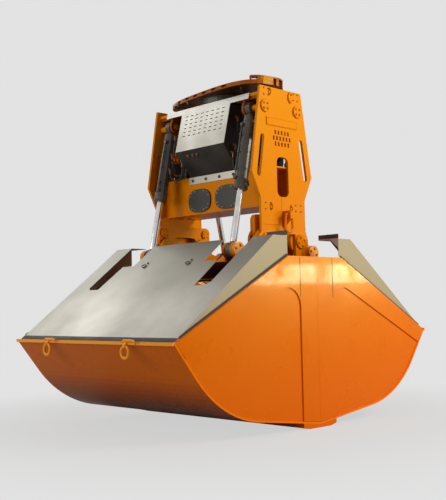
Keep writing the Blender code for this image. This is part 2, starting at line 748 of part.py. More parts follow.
def end_plate(end):
    """Upright plate that carries the pins of one end, with its window, slots and vent."""
    right = [
        (TOP_HALF, FRAME_TOP),
        (WIDEST_HALF, WIDEST_HEIGHT),
        (NECK_HALF, NECK_HEIGHT),
    ]
    lobe = arc((PIVOT.x, PIVOT.z), LOBE_RADIUS, math.radians(48), math.radians(-20), 8)
    leg = [
        (PIVOT.x + LEG_OUTER, PIVOT.z - LEG_DROP),
        (PIVOT.x - LEG_INNER, PIVOT.z - LEG_DROP),
        (PIVOT.x - LEG_INNER, PIVOT.z + ARCH_RISE),
    ]
    right_side = right + lobe + leg
    outline = right_side + [(-x, z) for x, z in reversed(right_side)]
    loops = [outline]
    loops.append(rounded(
        [(-WINDOW_HALF, WINDOW_LOW), (WINDOW_HALF, WINDOW_LOW), (WINDOW_HALF, WINDOW_HIGH), (-WINDOW_HALF, WINDOW_HIGH)],
        WINDOW_CORNER,
    ))
    lean = (WIDEST_HALF - TOP_HALF) / (FRAME_TOP - WIDEST_HEIGHT)
    for side in (-1, 1):
        low = (side * (WIDEST_HALF - SLOT_EDGE), SLOT_LOW)
        high = (side * (WIDEST_HALF - SLOT_EDGE - (SLOT_HIGH - SLOT_LOW) * lean), SLOT_HIGH)
        loops.append(capsule(low, high, SLOT_WIDTH / 2, 6))
        loops.append(ring((side * PIVOT.x, PIVOT.z), PIVOT_PIN_RADIUS + PIN_FIT))
        out, down = LEG_HOLE_PLACE
        loops.append(ring((side * (PIVOT.x + out), PIVOT.z - down), LEG_HOLE, 8))
        loops.append(ring((side * HEAD_PIN.x, HEAD_PIN.z), HEAD_PIN_RADIUS + PIN_FIT))
    for row, count in enumerate(VENT_ROWS):
        z = VENT_MIDDLE + (1 - row) * VENT_ROW_PITCH
        for i in range(count):
            x = (i - (count - 1) / 2) * VENT_PITCH
            w, h = VENT_WIDTH / 2, VENT_HEIGHT / 2
            loops.append([(x - w, z - h), (x + w, z - h), (x + w, z + h), (x - w, z + h)])
    inner, outer = sorted((end * (END_FACE - END_PLATE), end * END_FACE))
    return add(f"end_plate_{end_name(end)}", flat(loops, inner, outer), ORANGE)


end_inside = END_FACE - END_PLATE - TOUCH
cheek_out = CYLINDER_PLANE + EYE_WIDTH / 2 + ARM_GAP / 2 + ARM_PLATE + ARM_GAP


def pivot_bracket(end):
    """Inner bracket that holds the shell pivots on the side away from the end plate."""
    top = BRACKET_TOP
    near = PIVOT.x - BRACKET_LOBE
    corner = [(PIVOT.x, top), (BRACKET_HALF, top), (BRACKET_HALF, PIVOT.z + BRACKET_LOBE)]
    right = rounded(corner, [0, BRACKET_CORNER, 0])[1:]
    right += arc((PIVOT.x, PIVOT.z), BRACKET_LOBE, 0, -math.pi, 14)
    arch = rounded([(0, BRACKET_ARCH), (near, BRACKET_ARCH), (near, PIVOT.z)], [0, 0.04, 0])[1:-1]
    right += arch[::-1]
    outline = right + [(-x, z) for x, z in reversed(right)]
    holes = [ring((side * PIVOT.x, PIVOT.z), PIVOT_PIN_RADIUS + PIN_FIT) for side in (-1, 1)]
    a, b = sorted((end * cheek_out, end * (cheek_out + BRACKET_CHEEK)))
    cheek = flat([outline] + holes, a, b)
    a, b = sorted((end * (cheek_out + 0.01), end * end_inside))
    half = BRACKET_WEB_HALF
    web = box_mesh((-half, a, top - BRACKET_WEB), (half, b, top - 0.002))
    return add(f"pivot_bracket_{end_name(end)}", joined(cheek, web), ORANGE)


def head_bracket(end):
    """Inner bracket under the top plate that holds the upper pins of the cylinders."""
    high = TOP_PLATE_HIGH - TOP_PLATE - TOUCH
    lobes = ring((HEAD_PIN.x, HEAD_PIN.z), 0.055) + ring((-HEAD_PIN.x, HEAD_PIN.z), 0.055)
    half = TOP_PLATE_HALF - BEAM_WALL / 4
    outline = hull(lobes + [(half, high), (-half, high)])
    holes = [ring((s * HEAD_PIN.x, HEAD_PIN.z), HEAD_PIN_RADIUS + PIN_FIT) for s in (-1, 1)]
    face = CYLINDER_PLANE - EYE_WIDTH / 2 - ARM_GAP
    a, b = sorted((end * (face - HEAD_CHEEK), end * face))
    cheek = flat([outline] + holes, a, b)
    a, b = sorted((end * (face - 0.01), end * end_inside))
    web = box_mesh((-half + 0.002, a, high - HEAD_CHEEK), (half - 0.002, b, high - 0.001))
    return add(f"cylinder_bracket_{end_name(end)}", joined(cheek, web), ORANGE)


def pivot_pin(side, end):
    """Shell pivot pin with its bolted cap on the end plate."""
    inner = CYLINDER_PLANE + EYE_WIDTH / 2 + ARM_GAP / 2 - 0.004
    place = (side * PIVOT.x, PIVOT.z)
    return cap_pin(f"pivot_pin_{side_name(side)}_{end_name(end)}", place, end, inner, PIVOT_PIN_RADIUS, CAP_RADIUS)


def head_pin(side, end):
    """Upper pin of a cylinder with its bolted cap on the end plate."""
    inner = CYLINDER_PLANE - EYE_WIDTH / 2 - ARM_GAP - HEAD_CHEEK - 0.004
    place = (side * HEAD_PIN.x, HEAD_PIN.z)
    return cap_pin(f"cylinder_pin_{side_name(side)}_{end_name(end)}", place, end, inner, HEAD_PIN_RADIUS, HEAD_CAP_RADIUS)


def cap_pin(name, place, end, inner, radius, cap):
    face = END_FACE + TOUCH - inner
    bevel = 0.003
    profile = [
        (0, 0),
        (radius, 0),
        (radius, face),
        (cap, face),
        (cap, face + CAP_THICKNESS - bevel),
        (cap - bevel, face + CAP_THICKNESS),
        (0, face + CAP_THICKNESS),
    ]
    start = (place[0], end * inner, place[1])
    mesh = turned(profile, start, (place[0], end * (inner + 1), place[1]))
    return add(name, mesh, ORANGE)


def barrel(side, end):
    """Cylinder barrel with its eye on the upper pin, hollow for the piston."""
    head = Vector((side * HEAD_PIN.x, end * CYLINDER_PLANE, HEAD_PIN.z))
    foot = Vector((side * ROD_PIN.x, end * CYLINDER_PLANE, ROD_PIN.z))
    way = (foot - head).normalized()
    gland = BARREL_LENGTH - GLAND_LENGTH
    hole = ROD_RADIUS + ROD_FIT
    profile = [
        (0, BARREL_EYE * 0.6),
        (EYE_WIDTH * 0.48, BARREL_EYE * 0.6),
        (EYE_WIDTH * 0.48, BARREL_START),
        (BARREL_RADIUS - 0.008, BARREL_START),
        (BARREL_RADIUS, BARREL_START + 0.008),
        (BARREL_RADIUS, gland),
        (GLAND_RADIUS, gland),
        (GLAND_RADIUS, BARREL_LENGTH - 0.006),
        (GLAND_RADIUS - 0.006, BARREL_LENGTH),
        (hole, BARREL_LENGTH),
        (hole, BARREL_LENGTH - GLAND_WALL),
        (BORE_RADIUS, BARREL_LENGTH - GLAND_WALL),
        (BORE_RADIUS, BARREL_START + BARREL_FLOOR),
        (0, BARREL_START + BARREL_FLOOR),
    ]
    tube = turned(profile, head, foot)
    half = Vector((0, EYE_WIDTH / 2, 0))
    eye = rod(head - half, head + half, BARREL_EYE)
    port = head + way * (BARREL_LENGTH - GLAND_LENGTH / 2)
    outward = Vector((0, end, 0))
    boss = rod(port + outward * (BORE_RADIUS + 0.004), port + outward * (GLAND_RADIUS + 0.020), 0.018, 12)
    upper = head + way * (BARREL_START + 0.055)
    upper_boss = rod(upper + outward * (BORE_RADIUS + 0.004), upper + outward * (BARREL_RADIUS + 0.016), 0.018, 12)
    mesh = joined(tube, eye, boss, upper_boss)
    mesh = cut(mesh, rod(head - half * 1.5, head + half * 1.5, HEAD_PIN_RADIUS + PIN_FIT))
    return add(f"cylinder_barrel_{side_name(side)}_{end_name(end)}", mesh, GREY, 0.4, 0.3)


def piston_rod(side, end):
    """Piston, rod and eye, with the lower pin and its two caps pressed into the eye."""
    head = Vector((side * HEAD_PIN.x, end * CYLINDER_PLANE, HEAD_PIN.z))
    foot = Vector((side * ROD_PIN.x, end * CYLINDER_PLANE, ROD_PIN.z))
    length = (foot - head).length
    piston = BARREL_LENGTH - GLAND_WALL - 0.005
    profile = [
        (0, piston - PISTON_LENGTH),
        (BORE_RADIUS - ROD_FIT, piston - PISTON_LENGTH),
        (BORE_RADIUS - ROD_FIT, piston),
        (ROD_RADIUS, piston),
        (ROD_RADIUS, length - ROD_EYE * 0.6),
        (0, length - ROD_EYE * 0.6),
    ]
    bar = turned(profile, head, foot)
    half = Vector((0, EYE_WIDTH / 2, 0))
    eye = rod(foot - half, foot + half, ROD_EYE)
    face = EYE_WIDTH / 2 + ARM_GAP / 2 + ARM_PLATE + 0.0005
    across = Vector((0, face, 0))
    into_cap = Vector((0, ROD_CAP / 3, 0))
    pin = rod(foot - across - into_cap, foot + across + into_cap, ROD_PIN_RADIUS)
    caps = []
    for way in (-1, 1):
        at = foot + way * across
        depth = ROD_BOSS if way == end else ROD_CAP
        caps.append(rod(at, at + Vector((0, way * depth, 0)), CAP_RADIUS, 20))
    mesh = joined(bar, eye, pin, *caps)
    return add(f"piston_rod_{side_name(side)}_{end_name(end)}", mesh, CHROME, 0.2, 0.9)


def cross_beam():
    """Box beam between the end plates with its bottom plate."""
    low = CROSS_LOW - CROSS_FOOT
    outline = [
        (-BEAM_HALF - CROSS_LEDGE, low),
        (BEAM_HALF + CROSS_LEDGE, low),
        (BEAM_HALF + CROSS_LEDGE, CROSS_LOW),
        (BEAM_HALF, CROSS_LOW),
        (BEAM_HALF, CROSS_HIGH),
        (-BEAM_HALF, CROSS_HIGH),
        (-BEAM_HALF, CROSS_LOW),
        (-BEAM_HALF - CROSS_LEDGE, CROSS_LOW),
    ]
    inside = rectangle(
        BEAM_WALL - BEAM_HALF, BEAM_HALF - BEAM_WALL, CROSS_LOW + BEAM_WALL, CROSS_HIGH - BEAM_WALL
    )
    return add("cross_beam", flat([outline, inside], -end_inside, end_inside), ORANGE)


def tank():
    """Closed valve and oil box on the cross beam."""
    foot = CROSS_HIGH + TOUCH
    right = [(BEAM_HALF, foot), (TANK_WIDE, TANK_WIDE_HEIGHT), (TANK_TOP_HALF, TANK_TOP)]
    outline = right + [(-x, z) for x, z in reversed(right)]
    wall = TANK_WALL
    room = [(BEAM_HALF - wall, foot - wall), (TANK_WIDE - wall, TANK_WIDE_HEIGHT), (TANK_TOP_HALF - wall, TANK_TOP - wall)]
    room += [(-x, z) for x, z in reversed(room)]
    mesh = cut(flat([outline], -TANK_HALF, TANK_HALF), flat([room], wall - TANK_HALF, TANK_HALF - wall))
    return add("valve_box", mesh, DARK, 0.5)


def vent_cover(side):
    """Perforated steel cover on the sloping face of the valve box, with its top flange."""
    low = (TANK_WIDE, TANK_WIDE_HEIGHT)
    high = (TANK_TOP_HALF, TANK_TOP)
    length = math.hypot(high[0] - low[0], high[1] - low[1])
    up = ((high[0] - low[0]) / length, (high[1] - low[1]) / length)
    out = (up[1], -up[0])
    length += PANEL_RISE / up[1]
    shoulder = length - PANEL_FLANGE
    outline = [
        (0, -PANEL_HALF),
        (shoulder, -PANEL_HALF),
        (shoulder, -PANEL_FLANGE_HALF),
        (length, -PANEL_FLANGE_HALF),
        (length, PANEL_FLANGE_HALF),
        (shoulder, PANEL_FLANGE_HALF),
        (shoulder, PANEL_HALF),
        (0, PANEL_HALF),
    ]
    loops = [outline]
    w, h = PANEL_SLOT[0] / 2, PANEL_SLOT[1] / 2
    column_pitch = 2 * PANEL_HALF * 0.86 / PANEL_COLUMNS
    for row in range(PANEL_ROWS):
        s = shoulder - PANEL_TOP_ROW - row * PANEL_ROW_PITCH
        for column in range(PANEL_COLUMNS):
            y = (column - (PANEL_COLUMNS - 1) / 2) * column_pitch
            loops.append([(s - h, y - w), (s + h, y - w), (s + h, y + w), (s - h, y + w)])
    mesh = flat(loops, TOUCH, TOUCH + VENT_SHEET, "Z")
    lean = Matrix((
        (up[0], 0, out[0], low[0]),
        (0, 1, 0, 0),
        (up[1], 0, out[1], low[1]),
        (0, 0, 0, 1),
    ))
    mesh.transform(lean)
    weld(mesh)
    return add(f"vent_cover_{side_name(side)}", facing(mesh, side), STEEL, 0.3, 0.9)


def strip_plate(side):
    """Steel strip with bolt holes along the top of the cross beam."""
    half = STRIP_LENGTH / 2
    high = CROSS_HIGH - 0.002
    outline = [(-half, high - STRIP_HEIGHT), (half, high - STRIP_HEIGHT), (half, high), (-half, high)]
    holes = [ring((-half * 0.84 + i * half * 0.56, high - STRIP_HEIGHT / 2), 0.008, 10) for i in range(4)]
    a, b = sorted((side * (BEAM_HALF + TOUCH), side * (BEAM_HALF + TOUCH + STRIP)))
    return add(f"clamp_strip_{side_name(side)}", flat([outline] + holes, a, b, "X"), STEEL, 0.3, 0.9)


def handhole(side, end):
    """Rounded inspection cover on the cross beam."""
    outline = []
    steps = 20
    for i in range(steps):
        a = 2 * math.pi * i / steps
        c, s = math.cos(a), math.sin(a)
        outline.append((
            end * HANDHOLE_PLACE + math.copysign(abs(c) ** 0.75, c) * HANDHOLE_WIDTH / 2,
            HANDHOLE_CENTRE + math.copysign(abs(s) ** 0.75, s) * HANDHOLE_HEIGHT / 2,
        ))
    face = BEAM_HALF + TOUCH
    a, b = sorted((side * face, side * (face + HANDHOLE)))
    return add(f"inspection_cover_{side_name(side)}_{end_name(end)}", flat([outline], a, b, "X"), DARK, 0.5)


def top_plate():
    low = TOP_PLATE_HIGH - TOP_PLATE
    mesh = box_mesh((-TOP_PLATE_HALF, -end_inside, low), (TOP_PLATE_HALF, end_inside, TOP_PLATE_HIGH))
    return add("top_plate", mesh, ORANGE)


def slew_ring():
    """Fixed ring of the slewing bearing."""
    base = TOP_PLATE_HIGH + TOUCH
    high = HEAD_LOW - TOUCH - base
    profile = [(SLEW_INNER, 0), (SLEW_OUTER, 0), (SLEW_OUTER, high), (SLEW_INNER, high)]
    return add("slew_ring", turned(profile, (0, 0, base), (0, 0, base + 1), 28), GREY, 0.4, 0.5)


def hoop_point(degrees, inset):
    """Point of the oval hoop in the head's own frame, moved inwards by inset."""
    a = math.radians(degrees)
    c, s = math.cos(a), math.sin(a)
    power = 2 / 3
    x = (HOOP_HALF_WIDTH - inset) * math.copysign(abs(c) ** power, c)
    y = (HOOP_HALF_LENGTH - inset) * math.copysign(abs(s) ** power, s)
    return (x, y)


def hoop_side(y):
    """Half width of the hoop at a place along it."""
    share = min(1.0, abs(y) / HOOP_HALF_LENGTH)
    return HOOP_HALF_WIDTH * (1 - share ** 3) ** (1 / 3)


def hoop_band(start, end, low, high, outer, width, steps, closed=False):
    points = [start + (end - start) * i / steps for i in range(steps + 1)]
    outside = [hoop_point(d, outer) for d in points]
    inside = [hoop_point(d, outer + width) for d in points]
    loops = [outside, inside] if closed else [outside + inside[::-1]]
    return flat(loops, low, high, "Z")


def head_hub():
    """Turning plate on the slewing ring, with the spigot inside it."""
    spigot = TOP_PLATE_HIGH + HUB_DROP
    profile = [
        (0, 0),
        (SLEW_INNER - SLEW_FIT, 0),
        (SLEW_INNER - SLEW_FIT, HEAD_LOW - spigot),
        (HUB_RADIUS, HEAD_LOW - spigot),
        (HUB_RADIUS, HEAD_LOW - spigot + HUB_PLATE),
        (0, HEAD_LOW - spigot + HUB_PLATE),
    ]
    mesh = turned(profile, (0, 0, spigot), (0, 0, spigot + 1), 28)
    return add("head_hub", mesh, ORANGE)


def guard_hoop():
    """Oval plate round the hub with a thick rim, pockets along its sides and slots in its raised end."""
    high = HEAD_LOW + HOOP_HEIGHT
    rim_band = hoop_band(0, 360 - 360 / HOOP_STEPS, HEAD_LOW, high, 0, HOOP_BAND, HOOP_STEPS - 1, closed=True)
    points = [360 * i / HOOP_STEPS for i in range(HOOP_STEPS)]
    floor = HEAD_LOW + HUB_PROUD
    plate = flat([[hoop_point(d, HOOP_BAND / 2) for d in points]], floor, floor + HUB_PLATE - HUB_PROUD, "Z")
    bore = rod((0, 0, HEAD_LOW - HOOP_HEIGHT), (0, 0, high + HOOP_HEIGHT), HUB_RADIUS + TOUCH, 28)
    mesh = joined(rim_band, plate)
    length, height, depth = POCKET
    pockets = []
    for side in (-1, 1):
        for i in range(POCKETS):
            y = (i - (POCKETS - 1) / 2) * POCKET_PITCH
            x = side * hoop_side(y)
            pockets.append(box_mesh(
                (x - depth, y - length / 2, high - 0.3 * height - height),
                (x + depth, y + length / 2, high - 0.3 * height),
            ))
    past = HOOP_HEIGHT / 3
    slots = [
        hoop_band(first, last, HEAD_LOW - past, high + past, -past, HOOP_BAND + 2 * past, 4)
        for first, last in HOOP_SLOTS
    ]
    mesh = cut(mesh, bore, *pockets, *slots)
    return add("guard_hoop", mesh, ORANGE)


def guard_rail():
    """Raised end of the head guard, open between its posts."""
    base = HEAD_LOW + HOOP_HEIGHT + TOUCH
    inset = HUB_PROUD
    top = GUARD_HIGH - 2 * inset
    start, end = GUARD_RAIL
    parts = [
        hoop_band(first, last, base, top, inset, HOOP_BAND - 2 * inset, 4)
        for first, last in GUARD_BLOCKS
    ]
    rail = hoop_band(start, end, GUARD_HIGH - GUARD_BAND, GUARD_HIGH, 0, HOOP_BAND, 22)
    return add("guard_rail", joined(rail, *parts), ORANGE)


def lifting_lug(end):
    """Gusset on the end plate with the eye of the shackle."""
    face = END_FACE + TOUCH
    tip_y = face + LUG_REACH
    outline = rounded(
        [(face, LUG_LOW), (tip_y, LUG_HIGH - LUG_NOSE), (tip_y, LUG_HIGH), (face, LUG_HIGH)],
        [0, 0.02, 0.02, 0],
    )
    eye = (tip_y - LUG_EYE_PLACE[0], LUG_HIGH - LUG_EYE_PLACE[1])
    loops = [outline, ring(eye, SHACKLE_WIRE + SHACKLE_FIT)]
    if end < 0:
        loops = [[(-y, z) for y, z in loop] for loop in loops]
    mesh = flat(loops, -LUG_PLATE / 2, LUG_PLATE / 2, "X")
    return add(f"lifting_lug_{end_name(end)}", mesh, ORANGE), (0, end * eye[0], eye[1])


def shackle(end, eye):
    """Bow shackle that hangs from the lug by its pin."""
    half = SHACKLE_HALF
    bow = arc((0, SHACKLE_BOW - SHACKLE_DROP), SHACKLE_BOW, math.radians(175), math.radians(365), 12)
    path = [(-half, 0)] + bow + [(half, 0)]
    mesh = wire([(x, 0, z) for x, z in path], SHACKLE_WIRE)
    mesh.transform(Matrix.Translation(eye))
    return add(f"lifting_shackle_{end_name(end)}", mesh, ORANGE)


def wire(points, radius):
    """Closed loop of round bar through the points."""
    curve = bpy.data.curves.new("wire", "CURVE")
    curve.dimensions = "3D"
    curve.bevel_depth = radius
    curve.bevel_resolution = 1
    spline = curve.splines.new("POLY")
    spline.points.add(len(points) - 1)
    for point, place in zip(spline.points, points):
        point.co = (*place, 1)
    spline.use_cyclic_u = True
    holder = bpy.data.objects.new("wire", curve)
    cutters.objects.link(holder)
    bpy.context.view_layer.update()
    shape = holder.evaluated_get(bpy.context.evaluated_depsgraph_get())
    mesh = bpy.data.meshes.new_from_object(shape)
    bpy.data.objects.remove(holder)
    weld(mesh)
    return mesh


for end in ENDS.values():
    end_plate(end)
    pivot_bracket(end)
    head_bracket(end)
    lug, eye = lifting_lug(end)
    swing = axis_empty(f"shackle_axis_{end_name(end)}", eye)
    hang(swing, shackle(end, eye))
    for side in SIDES.values():
        pivot_pin(side, end)
        head_pin(side, end)
        handhole(side, end)
cross_beam()
tank()
top_plate()
slew_ring()
for side in SIDES.values():
    vent_cover(side)
    strip_plate(side)

slew = axis_empty("head_axis", (0, 0, HEAD_LOW), HEAD_TURN)
for piece in (head_hub(), guard_hoop(), guard_rail()):
    piece.parent = slew
    piece.matrix_parent_inverse = Matrix.Translation((0, 0, -HEAD_LOW))

for side in SIDES.values():
    pivot = axis_empty(f"shell_axis_{side_name(side)}", (side * PIVOT.x, 0, PIVOT.z))
    hang(pivot, shell_sheet(side), lip(side), cover(side), carrier(side))
    bar, eye = rim(side)
    hang(pivot, bar)
    for end in ENDS.values():
        hang(pivot, side_plate(side, end))
        swing = axis_empty(f"ring_axis_{side_name(side)}_{end_name(end)}", (eye[0], end * RING_PLACE, eye[1]), parent=pivot)
        hang(swing, lifting_ring(side, end, eye))
        place = (side * HEAD_PIN.x, end * CYLINDER_PLANE, HEAD_PIN.z)
        tilt = axis_empty(f"cylinder_axis_{side_name(side)}_{end_name(end)}", place)
        hang(tilt, barrel(side, end), piston_rod(side, end))
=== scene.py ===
import json
import math
import bmesh
import bpy
from mathutils import Matrix, Vector


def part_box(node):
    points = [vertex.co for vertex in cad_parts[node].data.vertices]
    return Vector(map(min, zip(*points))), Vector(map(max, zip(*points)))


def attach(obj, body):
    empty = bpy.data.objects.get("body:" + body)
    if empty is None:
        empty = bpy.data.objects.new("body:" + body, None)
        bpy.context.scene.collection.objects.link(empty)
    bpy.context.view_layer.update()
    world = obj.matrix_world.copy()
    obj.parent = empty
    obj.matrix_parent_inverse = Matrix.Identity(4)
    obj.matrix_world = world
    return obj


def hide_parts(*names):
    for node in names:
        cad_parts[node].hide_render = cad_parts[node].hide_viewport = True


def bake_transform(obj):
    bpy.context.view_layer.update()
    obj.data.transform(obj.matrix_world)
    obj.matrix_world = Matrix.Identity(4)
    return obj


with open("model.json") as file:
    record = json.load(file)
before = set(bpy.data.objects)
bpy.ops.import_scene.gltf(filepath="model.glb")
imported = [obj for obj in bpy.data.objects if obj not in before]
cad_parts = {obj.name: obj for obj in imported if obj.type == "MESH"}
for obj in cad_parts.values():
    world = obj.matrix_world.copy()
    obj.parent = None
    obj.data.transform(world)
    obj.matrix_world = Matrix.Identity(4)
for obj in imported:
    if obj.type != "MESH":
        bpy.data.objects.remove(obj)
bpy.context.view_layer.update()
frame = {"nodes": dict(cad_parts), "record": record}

record = frame["record"]
nodes = frame["nodes"]
boxes = {name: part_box(name) for name in nodes}
sides = {"left": -1, "right": 1}
ends = {"near": -1, "far": 1}
corners = [(f"{sideName}_{endName}", side, way)
           for endName, way in ends.items() for sideName, side in sides.items()]


# Shader nodes. A value is a plain one or another node's output.

def put(tree, kind, **values):
    # a node with its settings; in_ names a socket by number or label
    node = tree.nodes.new(kind)
    for key, value in values.items():
        if not key.startswith("in_"):
            setattr(node, key, value)
            continue
        key = key[3:]
        socket = node.inputs[int(key) if key.isdigit() else key]
        if isinstance(value, bpy.types.NodeSocket):
            tree.links.new(value, socket)
        else:
            socket.default_value = value
    return node


def reckon(tree, operation, first, second=0.0):
    return put(tree, "ShaderNodeMath", operation=operation, in_0=first, in_1=second).outputs[0]


def ranged(tree, value, low, high, fromLow=0.0, fromHigh=1.0):
    node = put(tree, "ShaderNodeMapRange", in_0=value, in_1=fromLow, in_2=fromHigh, in_3=low, in_4=high)
    return node.outputs[0]


def blendColors(tree, mask, first, second):
    first, second = ((*value, 1) if isinstance(value, tuple) else value for value in (first, second))
    return put(tree, "ShaderNodeMix", data_type="RGBA", in_0=mask, in_6=first, in_7=second).outputs[2]


def placeParts(tree, kind):
    # X, Y and Z of the piece's own coordinates ("Object") or of its faces ("Normal")
    place = put(tree, "ShaderNodeTexCoord").outputs[kind]
    return put(tree, "ShaderNodeSeparateXYZ", in_0=place).outputs


# Camera, stage and light

cameraView = {
    "place": (-5.1335, -5.1712, 0.9312),
    "heading": 45.583,
    "pitch": 3.711,
    "roll": -1.207,
    "lens": 62.14,
}


def aimCamera():
    heading, pitch, roll = (math.radians(cameraView[k]) for k in ("heading", "pitch", "roll"))
    level = Vector((math.cos(heading), math.sin(heading), 0))
    ahead = level * math.cos(pitch) + Vector((0, 0, math.sin(pitch)))
    right = Vector((math.sin(heading), -math.cos(heading), 0))
    up = right.cross(ahead)
    across = right * math.cos(roll) + up * math.sin(roll)
    upright = up * math.cos(roll) - right * math.sin(roll)
    data = bpy.data.cameras.new("camera")
    data.lens = cameraView["lens"]
    data.sensor_width = 36
    data.clip_end = 100
    camera = bpy.data.objects.new("camera", data)
    turn = Matrix((across, upright, -ahead)).transposed().to_4x4()
    camera.matrix_world = Matrix.Translation(cameraView["place"]) @ turn
    bpy.context.scene.collection.objects.link(camera)
    bpy.context.scene.camera = camera


studio = {
    "backdrop": (0.765, 0.765, 0.765),
    "glow": (0.86, 0.88, 0.90),
    "glowStrength": 0.24,
    "mirrored": 0.6,  # share of the backdrop that polished surfaces mirror
    "paper": (0.56, 0.56, 0.56),
    "paperShare": 0.22,  # how much of the lit paper the camera sees near the object
    "paperReach": (1.2, 3.6),  # the lit paper fades into the backdrop over these distances
}
lamps = {
    "key": {"place": (2.2, -5.8, 4.6), "size": (3.2, 2.6), "power": 325, "color": (1.0, 0.95, 0.84)},
    "side": {"place": (-6.6, 2.2, 2.6), "size": (3.4, 3.0), "power": 145, "color": (1.0, 0.93, 0.84)},
    "panel": {"place": (-3.7, 5.2, 5.7), "size": (1.5, 1.2), "power": 13, "color": (1.0, 0.98, 0.93)},
    "back": {"place": (0.2, 6.2, 5.0), "size": (3.6, 2.0), "power": 36, "color": (1.0, 0.98, 0.93)},
    "strip": {"place": (4.3, -4.7, 1.36), "size": (2.2, 0.26), "power": 48, "color": (1.0, 0.88, 0.50)},
}


def softBox(name, setup):
    data = bpy.data.lights.new(name, "AREA")
    data.shape = "RECTANGLE"
    data.size, data.size_y = setup["size"]
    data.energy = setup["power"]
    data.color = setup["color"]
    lamp = bpy.data.objects.new(name, data)
    lamp.location = setup["place"]
    toObject = Vector((0, 0, 1.2)) - Vector(setup["place"])
    lamp.rotation_euler = toObject.to_track_quat("-Z", "Y").to_euler()
    bpy.context.scene.collection.objects.link(lamp)


def buildWorld():
    world = bpy.data.worlds.new("studio")
    bpy.context.scene.world = world
    world.use_nodes = True
    tree = world.node_tree
    tree.nodes.clear()
    path = put(tree, "ShaderNodeLightPath").outputs
    mirrored = reckon(tree, "MULTIPLY", path["Is Glossy Ray"], studio["mirrored"])
    direct = reckon(tree, "MAXIMUM", path["Is Camera Ray"], mirrored)
    seen = put(tree, "ShaderNodeBackground", in_0=(*studio["backdrop"], 1))
    glow = put(tree, "ShaderNodeBackground", in_0=(*studio["glow"], 1), in_1=studio["glowStrength"])
    mix = put(tree, "ShaderNodeMixShader", in_0=direct, in_1=glow.outputs[0], in_2=seen.outputs[0])
    put(tree, "ShaderNodeOutputWorld", in_0=mix.outputs[0])


def buildFloor():
    mesh = bpy.data.meshes.new("floor")
    mesh.from_pydata([(-40, -40, 0), (40, -40, 0), (40, 40, 0), (-40, 40, 0)], [], [(0, 1, 2, 3)])
    floor = bpy.data.objects.new("floor", mesh)
    floor.location.z = -0.0015
    bpy.context.scene.collection.objects.link(floor)
    paper = bpy.data.materials.new("floorPaper")
    paper.use_nodes = True
    tree = paper.node_tree
    tree.nodes.clear()
    place = put(tree, "ShaderNodeTexCoord").outputs["Object"]
    distance = put(tree, "ShaderNodeVectorMath", operation="LENGTH", in_0=place)
    near, far = studio["paperReach"]
    fade = put(tree, "ShaderNodeMapRange", interpolation_type="SMOOTHSTEP", in_0=distance.outputs["Value"],
               in_1=near, in_2=far, in_3=1 - studio["paperShare"], in_4=1.0)
    direct = put(tree, "ShaderNodeLightPath").outputs["Is Camera Ray"]
    share = reckon(tree, "MULTIPLY", direct, fade.outputs[0])
    matt = put(tree, "ShaderNodeBsdfDiffuse", in_0=(*studio["paper"], 1))
    glow = put(tree, "ShaderNodeEmission", in_0=(*studio["backdrop"], 1))
    mix = put(tree, "ShaderNodeMixShader", in_0=share, in_1=matt.outputs[0], in_2=glow.outputs[0])
    put(tree, "ShaderNodeOutputMaterial", in_0=mix.outputs[0])
    mesh.materials.append(paper)


bpy.context.scene.view_settings.view_transform = "Standard"
aimCamera()
buildWorld()
buildFloor()
for name, setup in lamps.items():
    softBox(name, setup)
print("stage: camera, floor and", len(lamps), "lamps")


# Shared shader effects

def newGroup(name, inputs, outputs):
    group = bpy.data.node_groups.new(name, "ShaderNodeTree")
    for label, value in inputs.items():
        kind = "NodeSocketVector" if isinstance(value, tuple) else "NodeSocketFloat"
        socket = group.interface.new_socket(name=label, in_out="INPUT", socket_type=kind)
        socket.default_value = value
    for label in outputs:
        group.interface.new_socket(name=label, in_out="OUTPUT", socket_type="NodeSocketFloat")
    return group, put(group, "NodeGroupInput").outputs, put(group, "NodeGroupOutput").inputs


def buildMottle():
    # large soft clouds plus fine grain
    group, start, end = newGroup("mottle", {"Size": 2.0, "Fine Size": 60.0}, ["Clouds", "Fine"])
    place = put(group, "ShaderNodeTexCoord").outputs["Object"]
    clouds = put(group, "ShaderNodeTexNoise", in_Vector=place, in_Scale=start["Size"],
                 in_Detail=5.0, in_Roughness=0.55)
    fine = put(group, "ShaderNodeTexNoise", in_Vector=place, in_Scale=start["Fine Size"],
               in_Detail=3.0, in_Roughness=0.6)
    group.links.new(ranged(group, clouds.outputs["Fac"], 0.0, 1.0, 0.34, 0.66), end["Clouds"])
    group.links.new(fine.outputs["Fac"], end["Fine"])
    return group


def buildStreaks():
    # long thin marks along one axis, for brushed and rolled sheet
    group, start, end = newGroup("streaks", {"Stretch": (60.0, 3.0, 60.0)}, ["Marks"])
    place = put(group, "ShaderNodeTexCoord").outputs["Object"]
    stretch = put(group, "ShaderNodeVectorMath", operation="MULTIPLY", in_0=place, in_1=start["Stretch"])
    grain = put(group, "ShaderNodeTexNoise", in_Vector=stretch.outputs[0], in_Scale=1.0,
                in_Detail=4.0, in_Roughness=0.7)
    group.links.new(grain.outputs["Fac"], end["Marks"])
    return group


